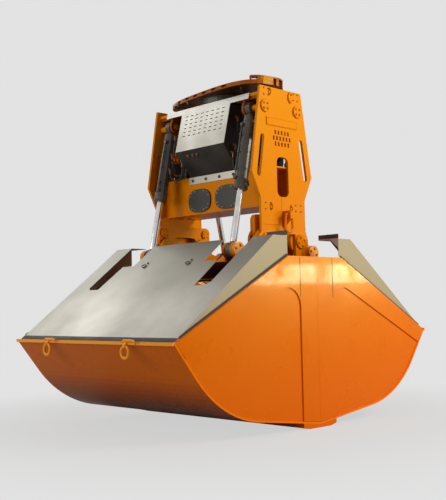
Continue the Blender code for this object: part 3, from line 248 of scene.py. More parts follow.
def buildScratches():
    # sparse short scuffs, as contact with other steel leaves
    group, start, end = newGroup("scratches", {"Size": 14.0}, ["Mask"])
    place = put(group, "ShaderNodeTexCoord").outputs["Object"]
    bend = put(group, "ShaderNodeTexNoise", in_Vector=place, in_Scale=5.0, in_Detail=2.0)
    mixed = put(group, "ShaderNodeVectorMath", operation="MULTIPLY_ADD", in_0=bend.outputs["Color"],
                in_1=(0.35, 0.35, 0.35), in_2=place)
    cells = put(group, "ShaderNodeTexVoronoi", feature="DISTANCE_TO_EDGE", in_Vector=mixed.outputs[0],
                in_Scale=start["Size"])
    patch = put(group, "ShaderNodeTexNoise", in_Vector=place, in_Scale=2.3, in_Detail=4.0)
    thin = ranged(group, cells.outputs["Distance"], 1.0, 0.0, 0.0, 0.018)
    where = ranged(group, patch.outputs["Fac"], 0.0, 1.0, 0.56, 0.68)
    group.links.new(reckon(group, "MULTIPLY", thin, where), end["Mask"])
    return group


def buildHeight():
    # share from 0 at Low to 1 at High, by height in the piece's own coordinates, which hold at every pose
    group, start, end = newGroup("height", {"Low": 0.0, "High": 1.0}, ["Share"])
    height = placeParts(group, "Object")["Z"]
    share = put(group, "ShaderNodeMapRange", interpolation_type="SMOOTHSTEP", in_0=height,
                in_1=start["Low"], in_2=start["High"])
    group.links.new(share.outputs[0], end["Share"])
    return group


effects = {
    "mottle": buildMottle(),
    "streaks": buildStreaks(),
    "scratches": buildScratches(),
    "height": buildHeight(),
}


def effect(tree, name, **values):
    node = tree.nodes.new("ShaderNodeGroup")
    node.node_tree = effects[name]
    for key, value in values.items():
        node.inputs[key.replace("_", " ")].default_value = value
    return node


def newFinish(name, roughness, metallic=0.0):
    material = bpy.data.materials.new(name)
    material.use_nodes = True
    tree = material.node_tree
    shader = tree.nodes["Principled BSDF"]
    shader.inputs["Roughness"].default_value = roughness
    shader.inputs["Metallic"].default_value = metallic
    return material, tree, shader


def bumpFrom(tree, shader, height, strength):
    bump = put(tree, "ShaderNodeBump", in_Strength=strength, in_Distance=0.001, in_Height=height)
    tree.links.new(bump.outputs[0], shader.inputs["Normal"])


def heightShare(tree, span):
    return effect(tree, "height", Low=span[0], High=span[1]).outputs["Share"]


paintLook = {
    "bright": (0.85, 0.30, 0.0),
    "deep": (0.80, 0.142, 0.0),
    "scuff": (0.42, 0.070, 0.0),
    "sheen": (1.0, 0.70, 0.0),  # the paint's own tint in its reflections
    "fade": (0.1, 2.5),  # painted light: the paint goes from deep to bright between these heights, lighter towards the top
    "stain": 0.35,
    "cloudSize": 1.7,
    "grainSize": 260.0,
    "grain": 0.10,
    "scratchSize": 11.0,
    "scratchShare": 0.45,
    "under": (-0.92, -0.38),  # painted shade on faces that look down, by the Z of their normal
    "roughness": (0.20, 0.36),
    "specular": 0.35,
    "coat": (0.0, 0.60),
    "coatRoughness": 0.06,
    "patchSize": 3.2,
    "glossFrom": (0.80, 1.12),  # the glossier band, in height
    "glossTo": (1.32, 1.50),
}


def orangePaint(name, bright, deep, scuff, under=None, inside=None):
    look = paintLook
    material, tree, shader = newFinish(name, 0.35)
    mottle = effect(tree, "mottle", Size=look["cloudSize"], Fine_Size=look["grainSize"])
    scratches = effect(tree, "scratches", Size=look["scratchSize"])
    # painted light: deep low down and bright high up, as the light falls from above
    litByHeight = blendColors(tree, heightShare(tree, look["fade"]), deep, bright)
    stain = ranged(tree, mottle.outputs["Clouds"], 0.0, look["stain"])
    color = blendColors(tree, stain, litByHeight, deep)
    scratched = ranged(tree, scratches.outputs["Mask"], 0.0, look["scratchShare"])
    color = blendColors(tree, scratched, color, scuff)
    if under:
        # painted shade on faces that look down
        down = ranged(tree, placeParts(tree, "Normal")["Z"], 1.0, 0.0, *look["under"])
        color = blendColors(tree, down, color, under)
    if inside:
        # painted shade below that height, where the carrier lies deep in the shell
        low, high, insideShade = inside
        color = blendColors(tree, heightShare(tree, (low, high)), insideShade, color)
    tree.links.new(color, shader.inputs["Base Color"])
    rough = ranged(tree, mottle.outputs["Clouds"], *look["roughness"])
    tree.links.new(rough, shader.inputs["Roughness"])
    # glossy patches in a band of heights
    patches = effect(tree, "mottle", Size=look["patchSize"])
    band = reckon(tree, "SUBTRACT", heightShare(tree, look["glossFrom"]), heightShare(tree, look["glossTo"]))
    gloss = reckon(tree, "MULTIPLY", band, ranged(tree, patches.outputs["Clouds"], *look["coat"]))
    tree.links.new(gloss, shader.inputs["Coat Weight"])
    shader.inputs["Coat Roughness"].default_value = look["coatRoughness"]
    shader.inputs["Specular IOR Level"].default_value = look["specular"]
    shader.inputs["Specular Tint"].default_value = (*look["sheen"], 1)
    bumpFrom(tree, shader, mottle.outputs["Fine"], look["grain"])
    return material


steelLook = {
    "pale": (0.66, 0.64, 0.575),
    "dull": (0.36, 0.345, 0.285),
    "fade": (0.80, 1.42),  # painted reflection: from pale to dull, in height
    "cloudShare": 0.6,
    "spot": (0.36, 0.35, 0.31),
    "spotShare": 0.22,
    "roughness": (0.30, 0.46),
    "skirt": (0.40, 0.345, 0.235),
    "skirtEdge": (0.25, 0.40),  # by how far a face looks along Y
    "skirtRoughness": 0.62,
    "flange": (0.045, 0.032, 0.024),
    "flangeFrom": (1.447, 1.453),
    "rolled": (30.0, 1.2, 30.0),
    "grain": 0.012,
}


def rolledSteel():
    look = steelLook
    material, tree, shader = newFinish("rolledSteel", 0.4, 0.55)
    clouds = effect(tree, "mottle", Size=1.15, Fine_Size=90.0)
    spots = effect(tree, "mottle", Size=6.0, Fine_Size=30.0)
    streaks = effect(tree, "streaks", Stretch=look["rolled"])
    soft = ranged(tree, clouds.outputs["Clouds"], 0.0, look["cloudShare"])
    color = blendColors(tree, soft, look["pale"], look["dull"])
    # painted reflection: paler low down, duller high up
    color = blendColors(tree, heightShare(tree, look["fade"]), color, look["dull"])
    spotted = ranged(tree, spots.outputs["Clouds"], 0.0, look["spotShare"])
    color = blendColors(tree, spotted, color, look["spot"])
    # painted shade: the upright skirts are duller and warmer, by the way their faces turn, and the flanges
    # above the fold dark
    across = reckon(tree, "ABSOLUTE", placeParts(tree, "Normal")["Y"])
    skirt = ranged(tree, across, 0.0, 1.0, *look["skirtEdge"])
    color = blendColors(tree, skirt, color, look["skirt"])
    color = blendColors(tree, heightShare(tree, look["flangeFrom"]), color, look["flange"])
    tree.links.new(color, shader.inputs["Base Color"])
    rough = ranged(tree, clouds.outputs["Clouds"], *look["roughness"])
    duller = put(tree, "ShaderNodeMix", data_type="FLOAT", in_0=skirt, in_2=rough, in_3=look["skirtRoughness"])
    tree.links.new(duller.outputs[0], shader.inputs["Roughness"])
    bumpFrom(tree, shader, streaks.outputs["Marks"], look["grain"])
    return material


ventLook = {
    "pale": (0.84, 0.82, 0.76),
    "dull": (0.66, 0.65, 0.59),
    "low": (0.50, 0.48, 0.42),
    "fade": (2.24, 2.62),  # painted reflection: darker low down, from low to the streaked steel, in height
    "roughness": (0.30, 0.42),
    "brushed": (160.0, 4.0, 160.0),
    "grain": 0.012,
}


def stainless():
    look = ventLook
    material, tree, shader = newFinish("stainless", 0.3, 0.8)
    streaks = effect(tree, "streaks", Stretch=look["brushed"])
    mottle = effect(tree, "mottle", Size=4.0, Fine_Size=90.0)
    color = blendColors(tree, streaks.outputs["Marks"], look["pale"], look["dull"])
    # painted reflection: darker towards the bottom of the panel
    color = blendColors(tree, heightShare(tree, look["fade"]), look["low"], color)
    tree.links.new(color, shader.inputs["Base Color"])
    tree.links.new(ranged(tree, mottle.outputs["Clouds"], *look["roughness"]), shader.inputs["Roughness"])
    bumpFrom(tree, shader, streaks.outputs["Marks"], look["grain"])
    return material


def plainFinish(name, color, pale, roughness, metallic=0.0, size=6.0, bump=0.15):
    # paint, rubber or metal of one colour with soft variation
    material, tree, shader = newFinish(name, roughness, metallic)
    mottle = effect(tree, "mottle", Size=size, Fine_Size=180.0)
    tree.links.new(blendColors(tree, mottle.outputs["Clouds"], color, pale), shader.inputs["Base Color"])
    rough = ranged(tree, mottle.outputs["Clouds"], roughness - 0.06, roughness + 0.10)
    tree.links.new(rough, shader.inputs["Roughness"])
    bumpFrom(tree, shader, mottle.outputs["Fine"], bump)
    return material


# Shared places of the cylinders: the plane's distance from the middle, pins as (x, z), the tube's radius

cylinder = {
    "plane": 0.485,
    "headPin": (0.191, 2.4985),
    "rodPin": (0.443, 1.359),
    "barrel": 0.049,
}

rodLook = {
    "bossFrom": 0.0490,  # caps on the pin's ends, from the cylinder's plane
    "eyeBelow": 1.428,  # the eye, in height
    "chrome": ((0.93, 0.93, 0.91), (0.80, 0.80, 0.78)),
    "eye": (0.11, 0.105, 0.10),
    "roughness": (0.14, 0.36),  # chrome, then eye and caps
    "grain": 0.03,
}


def rodFinish():
    # chrome rod, dark eye round the pin, orange caps on the pin's ends
    look = rodLook
    material, tree, shader = newFinish("rodFinish", 0.2)
    mottle = effect(tree, "mottle", Size=12.0, Fine_Size=300.0)
    place = placeParts(tree, "Object")
    across = reckon(tree, "ABSOLUTE", place["Y"])
    apart = reckon(tree, "ABSOLUTE", reckon(tree, "SUBTRACT", across, cylinder["plane"]))
    boss = reckon(tree, "GREATER_THAN", apart, look["bossFrom"])
    eye = reckon(tree, "LESS_THAN", place["Z"], look["eyeBelow"])
    color = blendColors(tree, mottle.outputs["Clouds"], *look["chrome"])
    color = blendColors(tree, eye, color, look["eye"])
    color = blendColors(tree, boss, color, paintLook["bright"])
    tree.links.new(color, shader.inputs["Base Color"])
    notChrome = reckon(tree, "MAXIMUM", boss, eye)
    tree.links.new(ranged(tree, notChrome, 1.0, 0.0), shader.inputs["Metallic"])
    tree.links.new(ranged(tree, notChrome, *look["roughness"]), shader.inputs["Roughness"])
    bumpFrom(tree, shader, mottle.outputs["Fine"], look["grain"])
    return material


bright, deep, scuff = paintLook["bright"], paintLook["deep"], paintLook["scuff"]
finishes = {
    # the first five are the part's own slots
    "orange_paint": orangePaint("orangePaint", bright, deep, scuff),
    "bare_steel": rolledSteel(),
    "black_paint": plainFinish("blackPaint", (0.016, 0.016, 0.015), (0.040, 0.037, 0.032), 0.40),
    "grey_paint": plainFinish("greyPaint", (0.060, 0.055, 0.047), (0.120, 0.108, 0.090), 0.22, bump=0.06),
    "chrome_rod": rodFinish(),
    "stainless": stainless(),
    # a darker copy of the orange paint: painted shade on the head's hoop, rail and hub
    "shadedHeadPaint": orangePaint("shadedHeadPaint", (0.46, 0.105, 0.012), (0.27, 0.055, 0.010),
                             (0.09, 0.03, 0.015), under=(0.05, 0.012, 0.004)),
    # a brighter copy of the orange paint: painted light on the shells' sheets
    "litShellPaint": orangePaint("litShellPaint", (1.0, 0.27, 0.0), (0.98, 0.20, 0.0),
                              scuff, under=(0.20, 0.030, 0.0)),
    # carrier paint with painted shade on its lower parts
    "carrierPaint": orangePaint("carrierPaint", bright, deep, scuff,
                                inside=(1.24, 1.36, (0.055, 0.016, 0.006))),
    # a lighter copy of the orange paint: painted highlight on the rims' top edges, also used on the staples
    # and lifting rings
    "highlightPaint": orangePaint("highlightPaint", (1.0, 0.42, 0.05), (1.0, 0.38, 0.04), deep),
    "shadePaint": orangePaint("shadePaint", (0.36, 0.070, 0.0), (0.20, 0.035, 0.0), (0.06, 0.015, 0.0)),
    "rubber": plainFinish("rubber", (0.010, 0.010, 0.010), (0.030, 0.029, 0.028), 0.55, bump=0.3),
    "boltSteel": plainFinish("boltSteel", (0.42, 0.40, 0.36), (0.22, 0.20, 0.17), 0.35, 0.7, 20.0),
    "darkBolt": plainFinish("darkBolt", (0.05, 0.045, 0.04), (0.10, 0.09, 0.08), 0.40, 0.3, 20.0),
    "castBrown": plainFinish("castBrown", (0.30, 0.085, 0.020), (0.16, 0.045, 0.015), 0.42, 0.0, 14.0),
    "fitting": plainFinish("fitting", (0.36, 0.15, 0.07), (0.20, 0.09, 0.05), 0.34, 0.6, 25.0),
}

slotOf = {entry["node"]: entry["material_slot"] for entry in record["subparts"]}
special = {"guard_hoop": "shadedHeadPaint", "guard_rail": "shadedHeadPaint", "head_hub": "shadedHeadPaint"}
for side in sides:
    special[f"rear_rim_{side}"] = "highlightPaint"
    special[f"shell_carrier_{side}"] = "carrierPaint"
    special[f"shell_sheet_{side}"] = "litShellPaint"
    special[f"vent_cover_{side}"] = special[f"clamp_strip_{side}"] = "stainless"
for end in ends:
    special[f"cylinder_bracket_{end}"] = "shadePaint"
for name, node in nodes.items():
    finish = finishes[special.get(name, slotOf[name])]
    if not node.material_slots:
        node.data.materials.append(finish)
    for slot in node.material_slots:
        slot.material = finish
print("stage: finishes on", len(nodes), "nodes")


# Mesh helpers. Each adds one closed form to a bmesh; at is a matrix whose Z points out of the surface.

def facing(place, normal, up=(0, 0, 1)):
    z = Vector(normal).normalized()
    x = Vector(up).cross(z)
    if x.length < 1e-4:
        x = Vector((1, 0, 0)).cross(z)
    x.normalize()
    return Matrix.Translation(place) @ Matrix((x, z.cross(x), z)).transposed().to_4x4()


def addLayers(shape, loops, at):
    # skin through loops of 3-D points with the same count, closed at both ends
    rings = [[shape.verts.new(at @ Vector(p)) for p in loop] for loop in loops]
    count = len(rings[0])
    for low, high in zip(rings, rings[1:]):
        for i in range(count):
            j = (i + 1) % count
            shape.faces.new((low[i], low[j], high[j], high[i]))
    shape.faces.new(rings[0][::-1])
    shape.faces.new(rings[-1])


def addSlab(shape, outline, height, at, edge=0.0):
    # flat form of that height on the surface, with its upper edge chamfered
    middle = sum((Vector(p) for p in outline), Vector((0, 0))) / len(outline)
    reach = max((Vector(p) - middle).length for p in outline)
    inner = [middle + (Vector(p) - middle) * (1 - edge / reach) for p in outline]
    loops = [[(x, y, 0) for x, y in outline], [(x, y, height - edge) for x, y in outline]]
    if edge:
        loops.append([(x, y, height) for x, y in inner])
    addLayers(shape, loops, at)


def roundedBox(width, height, corner, steps=4):
    # outline of a rectangle about its middle with round corners
    points = []
    for i, (sx, sy) in enumerate(((1, 1), (-1, 1), (-1, -1), (1, -1))):
        for k in range(steps + 1):
            angle = math.radians(90 * i + 90 * k / steps)
            cx, cy = sx * (width / 2 - corner), sy * (height / 2 - corner)
            points.append((cx + corner * math.cos(angle), cy + corner * math.sin(angle)))
    return points


def ringPoints(radius, count, start=0.0):
    angles = [start + 2 * math.pi * i / count for i in range(count)]
    return [(radius * math.cos(a), radius * math.sin(a)) for a in angles]


def addTurned(shape, profile, at, steps=20):
    # body of revolution about Z from (radius, height) pairs
    loops = [[(x, y, high) for x, y in ringPoints(radius, steps)] for radius, high in profile]
    addLayers(shape, loops, at)


def addCollar(shape, outer, inner, length, edge, at, steps=28):
    # hollow ring about Z, open in the middle
    profile = [(inner, 0), (outer - edge, 0), (outer, edge),
               (outer, length - edge), (outer - edge, length), (inner, length)]
    loops = [[shape.verts.new(at @ Vector((x, y, high))) for x, y in ringPoints(radius, steps)]
             for radius, high in profile]
    for first, second in zip(loops, loops[1:] + loops[:1]):
        for i in range(steps):
            j = (i + 1) % steps
            shape.faces.new((first[i], first[j], second[j], second[i]))


def addTube(shape, path, radius, count=8):
    # round bar along a path; radius is a number or a list, one for each point
    points = [Vector(p) for p in path]
    radii = radius if isinstance(radius, list) else [radius] * len(points)
    side = None
    loops = []
    for i, point in enumerate(points):
        ahead = (points[min(i + 1, len(points) - 1)] - points[max(i - 1, 0)]).normalized()
        if side is None:
            side = ahead.orthogonal().normalized()
        side = (side - ahead * side.dot(ahead)).normalized()
        other = ahead.cross(side)
        loops.append([point + side * x + other * y for x, y in ringPoints(radii[i], count)])
    addLayers(shape, loops, Matrix.Identity(4))


def addBolt(shape, place, normal, size):
    # hexagon head of that width on a washer
    at = facing(place, normal)
    addTurned(shape, [(size * 0.66, 0), (size * 0.66, size * 0.10), (size * 0.58, size * 0.15)], at, 14)
    head = [(size * 0.5, size * 0.12), (size * 0.5, size * 0.46), (size * 0.40, size * 0.54)]
    addTurned(shape, head, at, 6)


def addPlate(shape, side, outline, span):
    # outline in X and Z, mirrored by side, between two places along Y
    addLayers(shape, [[(side * p.x, y, p.y) for p in outline] for y in span], Matrix.Identity(4))


def addPiece(name, shape, finish, body=None, angle=40):
    bmesh.ops.recalc_face_normals(shape, faces=shape.faces)
    mesh = bpy.data.meshes.new(name)
    shape.to_mesh(mesh)
    shape.free()
    mesh.shade_smooth()
    mesh.set_sharp_from_angle(angle=math.radians(angle))
    mesh.materials.append(finishes[finish])
    piece = bpy.data.objects.new(name, mesh)
    bpy.context.scene.collection.objects.link(piece)
    if body:
        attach(piece, body)
    return piece


# Bolts in the pin caps and bosses

pins = {
    "pivotPin": (0.200, 1.439),
    "pivotBolts": (0.036, 20),  # radius of the ring of bolts, and the angle it starts at
    "headBolts": (0.030, 45),
    "bossBolts": (0.038, 70),
    "count": 4,
    "bolt": 0.019,
}


def boltRing(shape, name, centre, side, way, ring):
    # bolts in the outer face of that node, about a place on the left or right
    y = boxes[name][way > 0][1]
    for x, z in ringPoints(ring[0], pins["count"], math.radians(ring[1])):
        addBolt(shape, (side * centre[0] + x, y, centre[1] + z), (0, way, 0), pins["bolt"])


for corner, side, way in corners:
    shape = bmesh.new()
    boltRing(shape, f"pivot_pin_{corner}", pins["pivotPin"], side, way, pins["pivotBolts"])
    boltRing(shape, f"cylinder_pin_{corner}", cylinder["headPin"], side, way, pins["headBolts"])
    addPiece(f"pinBolts_{corner}", shape, "orange_paint", "frame")
    shape = bmesh.new()
    boltRing(shape, f"piston_rod_{corner}", cylinder["rodPin"], side, way, pins["bossBolts"])
    addPiece(f"bossBolts_{corner}", shape, "orange_paint", f"rod_{corner}")
print("stage: pin bolts")


# End plates: bolt groups, tie hooks, name plate, weld lines

endLook = {
    "groups": (((0.200, 2.641), (0.151, 2.641), (0.200, 2.590), (0.151, 2.590)),
               ((0.210, 1.731), (0.148, 1.731), (0.210, 1.681), (0.148, 1.681))),
    "groupBolt": 0.011,
    "hooks": ((-0.133, 2.640), (-0.143, 1.724), (0.092, 1.720)),
    "hookDrop": 0.052,
    "hookReach": 0.015,
    "hookStart": (0.002, 0.006),  # off the plate, and above the middle of the foot
    "hookBar": (0.0065, 0.0045),
    "hookFoot": (0.020, 0.020, 0.005),  # width, height, and corner and thickness
    "hookToe": (0.014, 0.012, 0.004),
    "hookEdge": 0.0015,
    "eyes": ((0.113, 2.605),),
    "eyeRadius": 0.038,
    "eyeBar": 0.0085,
    "seams": (((-0.022, 1.782), (-0.020, 1.72), (-0.021, 1.66)),
              ((-0.232, 1.560), (-0.08, 1.562), (-0.012, 1.561))),
    "seam": 0.0026,
}
nameLook = {
    "middle": (0.004, 2.382),
    "size": (0.372, 0.066),
    "corner": 0.004,
    "deep": 0.006,
    "edge": 0.0015,
    "rimIn": 0.012,
    "rim": 0.0030,
}


def tieHook(shape, x, z, face, way):
    # cast hook that hangs from a foot, stands off the plate and comes back to it
    reach, drop = endLook["hookReach"], endLook["hookDrop"]
    off, rise = endLook["hookStart"]
    thick, thin = endLook["hookBar"]
    path, radii = [], []
    for i in range(11):
        t = i / 10
        path.append((x, face + way * (off + reach * math.sin(math.pi * t)), z + rise - drop * t))
        radii.append(thick + (thin - thick) * t)
    addTube(shape, path, radii, 8)
    for pad, height in ((endLook["hookFoot"], z), (endLook["hookToe"], z + rise - drop)):
        at = facing((x, face, height), (0, way, 0))
        addSlab(shape, roundedBox(*pad), pad[2], at, endLook["hookEdge"])


def plateEye(shape, x, z, face, way):
    # welded eye: three quarters of a round bar ring that stands on the plate
    radius, bar = endLook["eyeRadius"], endLook["eyeBar"]
    ring = []
    for i in range(19):
        angle = math.radians(40 + 280 * i / 18)
        across, up = radius * 0.62 * math.cos(angle), radius * math.sin(angle)
        ring.append((x + across, face + way * bar * 0.6, z + up))
    addTube(shape, ring, bar, 10)


for endName, way in ends.items():
    face = boxes[f"end_plate_{endName}"][way > 0][1]
    studs, hooks, eyes, seams = (bmesh.new() for _ in range(4))
    for side in sides.values():
        for group in endLook["groups"]:
            for x, z in group:
                addBolt(studs, (side * x, face, z), (0, way, 0), endLook["groupBolt"])
    for x, z in endLook["hooks"]:
        tieHook(hooks, x, z, face, way)
    for x, z in endLook["eyes"]:
        plateEye(eyes, x, z, face, way)
    # weld lines under the window and along the foot of the plate
    for line in endLook["seams"]:
        addTube(seams, [(x, face, z) for x, z in line], endLook["seam"], 6)
    addPiece(f"plateEyes_{endName}", eyes, "orange_paint", "frame")
    addPiece(f"plateBolts_{endName}", studs, "castBrown", "frame")
    addPiece(f"tieHooks_{endName}", hooks, "orange_paint", "frame")
    addPiece(f"plateSeams_{endName}", seams, "orange_paint", "frame", 60)

shape = bmesh.new()
x, z = nameLook["middle"]
width, height = nameLook["size"]
deep, rimIn = nameLook["deep"], nameLook["rimIn"]
at = facing((x, boxes["end_plate_near"][0][1], z), (0, -1, 0))
addSlab(shape, roundedBox(width, height, nameLook["corner"]), deep, at, nameLook["edge"])
outline = roundedBox(width - rimIn, height - rimIn, nameLook["corner"])
rim = [at @ Vector((px, py, deep)) for px, py in outline]
addTube(shape, rim + rim[:1], nameLook["rim"], 6)
addPiece("namePlate", shape, "orange_paint", "frame")
print("stage: end plates")


# Side plates: butt seams where the upright band meets the sloping one

sideSeam = {"x": 0.192, "low": 0.985, "high": 1.288, "radius": 0.0024}

for sideName, side in sides.items():
    shape = bmesh.new()
    for endName, way in ends.items():
        face = boxes[f"side_plate_{sideName}_{endName}"][way > 0][1]
        x, low, high = sideSeam["x"], sideSeam["low"], sideSeam["high"]
        seam = [(side * x, face, low + (high - low) * i / 12) for i in range(13)]
        addTube(shape, seam, sideSeam["radius"], 6)
    addPiece(f"sideSeams_{sideName}", shape, "castBrown", f"shell_{sideName}", 60)
print("stage: side plates")


# Cross beam: inspection cover bolts, strip bolts, corner caps of the pivot brackets

beamLook = {
    "coverBolts": 12,
    "coverBolt": 0.010,
    "coverIn": (0.016, 0.014),  # the bolts' ring from the cover's edge, along Y and Z
    "squareness": 0.55,  # keeps the ring inside the cover's rounded outline
    "keep": 0.94,
    "stripBolt": 0.020,
    "stripPlaces": (-0.2436, -0.0812, 0.0812, 0.2436),
}
capLook = {"place": (0.238, 1.579), "radius": 0.043, "depth": 0.018, "edge": 0.003, "bolts": 5, "bolt": 0.014}


def squared(value):
    return beamLook["keep"] * math.copysign(abs(value) ** beamLook["squareness"], value)


for sideName, side in sides.items():
    shape = bmesh.new()
    for endName in ends:
        low, high = boxes[f"inspection_cover_{sideName}_{endName}"]
        middle = (low + high) / 2
        face = (low, high)[side > 0][0]
        halfY = (high.y - low.y) / 2 - beamLook["coverIn"][0]
        halfZ = (high.z - low.z) / 2 - beamLook["coverIn"][1]
        for i in range(beamLook["coverBolts"]):
            angle = 2 * math.pi * (i + 0.5) / beamLook["coverBolts"]
            y, z = halfY * squared(math.cos(angle)), halfZ * squared(math.sin(angle))
            addBolt(shape, (face, middle.y + y, middle.z + z), (side, 0, 0), beamLook["coverBolt"])
    addPiece(f"coverBolts_{sideName}", shape, "boltSteel", "frame")
    shape = bmesh.new()
    low, high = boxes[f"clamp_strip_{sideName}"]
    face = (low, high)[side > 0][0]
    for y in beamLook["stripPlaces"]:
        addBolt(shape, (face, y, (low.z + high.z) / 2), (side, 0, 0), beamLook["stripBolt"])
    addPiece(f"stripBolts_{sideName}", shape, "darkBolt", "frame")

for endName, way in ends.items():
    shape = bmesh.new()
    face = boxes[f"pivot_bracket_{endName}"][way < 0][1]
    x, z = capLook["place"]
    radius, depth, edge = capLook["radius"], capLook["depth"], capLook["edge"]
    for side in sides.values():
        at = facing((side * x, face, z), (0, -way, 0))
        addTurned(shape, [(radius, 0), (radius, depth - edge), (radius - edge, depth)], at, 28)
        for bx, bz in ringPoints(radius * 0.62, capLook["bolts"], 0.3):
            addBolt(shape, (side * x + bx, face - way * depth, z + bz), (0, -way, 0), capLook["bolt"])
    addPiece(f"bracketCaps_{endName}", shape, "orange_paint", "frame")
print("stage: cross beam")


# Cylinders: gland rings, hard line with clamps along the barrel. Distances run from the head pin.

barrelLook = {
    # distance, radius, length
    "rings": ((0.110, 0.0515, 0.012), (0.598, 0.0565, 0.010), (0.664, 0.0565, 0.006)),
    "edge": 0.002,
    "bite": 0.003,  # how far collars reach into the tube's wall
    "line": 0.0065,
    "lineOut": 0.011,
    "lineAcross": 0.020,  # from the cylinder's plane, to the middle of the bucket
    "from": 0.150,
    "to": 0.590,
    "lineEnd": 0.012,  # from a port block's middle
    "clamps": (0.23, 0.37, 0.51),
    "band": (0.0015, 0.014, 0.0005),  # proud of the tube, length, edge
    "saddle": (0.018, 0.014, 0.003),  # width, length, corner
    "saddleHigh": 0.016,
    "port": (0.028, 0.026, 0.005),
    "portHigh": 0.026,
}


def alongCylinder(side, way, distance, out=0.0, across=0.0):
    # point on a cylinder: distance from the head pin, out from the middle, across along Y
    head, foot = (Vector((side * x, way * cylinder["plane"], z))
                  for x, z in (cylinder["headPin"], cylinder["rodPin"]))
    ahead = (foot - head).normalized()
    outward = Vector((-ahead.z, 0, ahead.x)) * side
    return head + ahead * distance + outward * out + Vector((0, across, 0)), ahead, outward


radius = cylinder["barrel"]
inner = radius - barrelLook["bite"]
proud, bandLength, bandEdge = barrelLook["band"]
first, last = barrelLook["from"] + barrelLook["lineEnd"], barrelLook["to"] - barrelLook["lineEnd"]
lineOut = radius + barrelLook["lineOut"]
for corner, side, way in corners:
    aside = -way * barrelLook["lineAcross"]
    shape = bmesh.new()
    for distance, ringRadius, length in barrelLook["rings"]:
        place, ahead, outward = alongCylinder(side, way, distance)
        addCollar(shape, ringRadius, inner, length, barrelLook["edge"], facing(place, ahead))
    for distance in barrelLook["clamps"]:
        place, ahead, outward = alongCylinder(side, way, distance)
        addCollar(shape, radius + proud, inner, bandLength, bandEdge, facing(place, ahead))
        place = alongCylinder(side, way, distance + bandLength / 2, radius + 0.002, aside)[0]
        at = facing(place, outward, ahead)
        addSlab(shape, roundedBox(*barrelLook["saddle"]), barrelLook["saddleHigh"], at, 0.002)
    # port blocks at both ends of the line
    for distance in (barrelLook["from"], barrelLook["to"]):
        place, ahead, outward = alongCylinder(side, way, distance, radius - 0.006, aside)
        at = facing(place, outward, ahead)
        addSlab(shape, roundedBox(*barrelLook["port"]), barrelLook["portHigh"], at, 0.003)
    addPiece(f"barrelFittings_{corner}", shape, "grey_paint", f"barrel_{corner}")
    shape = bmesh.new()
    path = [alongCylinder(side, way, first + (last - first) * i / 7, lineOut, aside)[0] for i in range(8)]
    addTube(shape, path, barrelLook["line"], 10)
    addPiece(f"barrelLine_{corner}", shape, "grey_paint", f"barrel_{corner}")
print("stage: cylinders")


# Hoses: from elbows on the box's end faces, down in a loop and up to elbows on the barrels

hoseLook = {
    "diameter": 0.014,
    "elbow": 0.014,  # radius of the elbow's turn
    "pipe": 0.0068,
    "sleeve": 0.030,
    "sleeveRadius": 0.0100,
    "boxOut": 0.025,  # from the box's end face to the hose
    "barrelIn": 0.017,  # from the barrel to the hose
    "overlap": 0.006,  # how far the hose starts inside its sleeve
    "nut": ((0.0125, 0.0), (0.0125, 0.008), (0.0105, 0.010)),  # (radius, height) of its layers
    "sleeveNut": ((0.0112, 0.0), (0.0120, 0.002), (0.0120, 0.008), (0.0112, 0.010)),
    "ribs": 4,
    "loops": {
        # height of the box's elbow, its x, height of the barrel's elbow, middle of the loop's turn
        "low": (2.170, 0.232, 2.120, 2.075),
        "middle": (2.238, 0.205, 2.252, 2.115),
        "high": (2.470, 0.172, 2.416, 2.345),
    },
}


def hoseRoute(start, finish, turn):
    # straight down from start, half a turn about that height, straight up to finish
    middle = (start + finish) / 2
    across = (finish - start) * 0.5
    across.z = 0
    points = [Vector((start.x, start.y, start.z + (turn - start.z) * i / 5)) for i in range(5)]
    for i in range(15):
        angle = math.pi * i / 14
        flat = Vector((middle.x, middle.y, turn)) - across * math.cos(angle)
        points.append(flat - Vector((0, 0, across.length * math.sin(angle))))
    points += [Vector((finish.x, finish.y, turn + (finish.z - turn) * (i + 1) / 3)) for i in range(3)]
    return points


def elbowFitting(shape, wall, toWall, x, height):
    # quarter turn from the wall down to the hose, with a nut at the wall and a crimped sleeve
    turn = hoseLook["elbow"]
    hoseY = wall - toWall
    sign = 1 if toWall > 0 else -1
    path = [(x, wall, height)]
    for i in range(7):
        angle = math.pi / 2 * i / 6
        path.append((x, hoseY + sign * turn * (1 - math.sin(angle)), height - turn * (1 - math.cos(angle))))
    path.append((x, hoseY, height - turn - 0.004))
    addTube(shape, path, hoseLook["pipe"], 10)
    addTurned(shape, hoseLook["nut"], facing((x, wall, height), (0, -sign, 0)), 6)
    low = facing((x, hoseY, height - turn), (0, 0, -1))
    addTurned(shape, hoseLook["sleeveNut"], low, 6)
    radius, length, ribs = hoseLook["sleeveRadius"], hoseLook["sleeve"], hoseLook["ribs"]
    profile = [(radius * 0.84, 0.008)]
    for i in range(ribs):
        base = 0.010 + i * (length - 0.012) / ribs
        profile += [(radius, base), (radius, base + 0.0035), (radius * 0.93, base + 0.0045)]
    profile += [(radius * 0.88, length)]
    addTurned(shape, profile, low, 16)


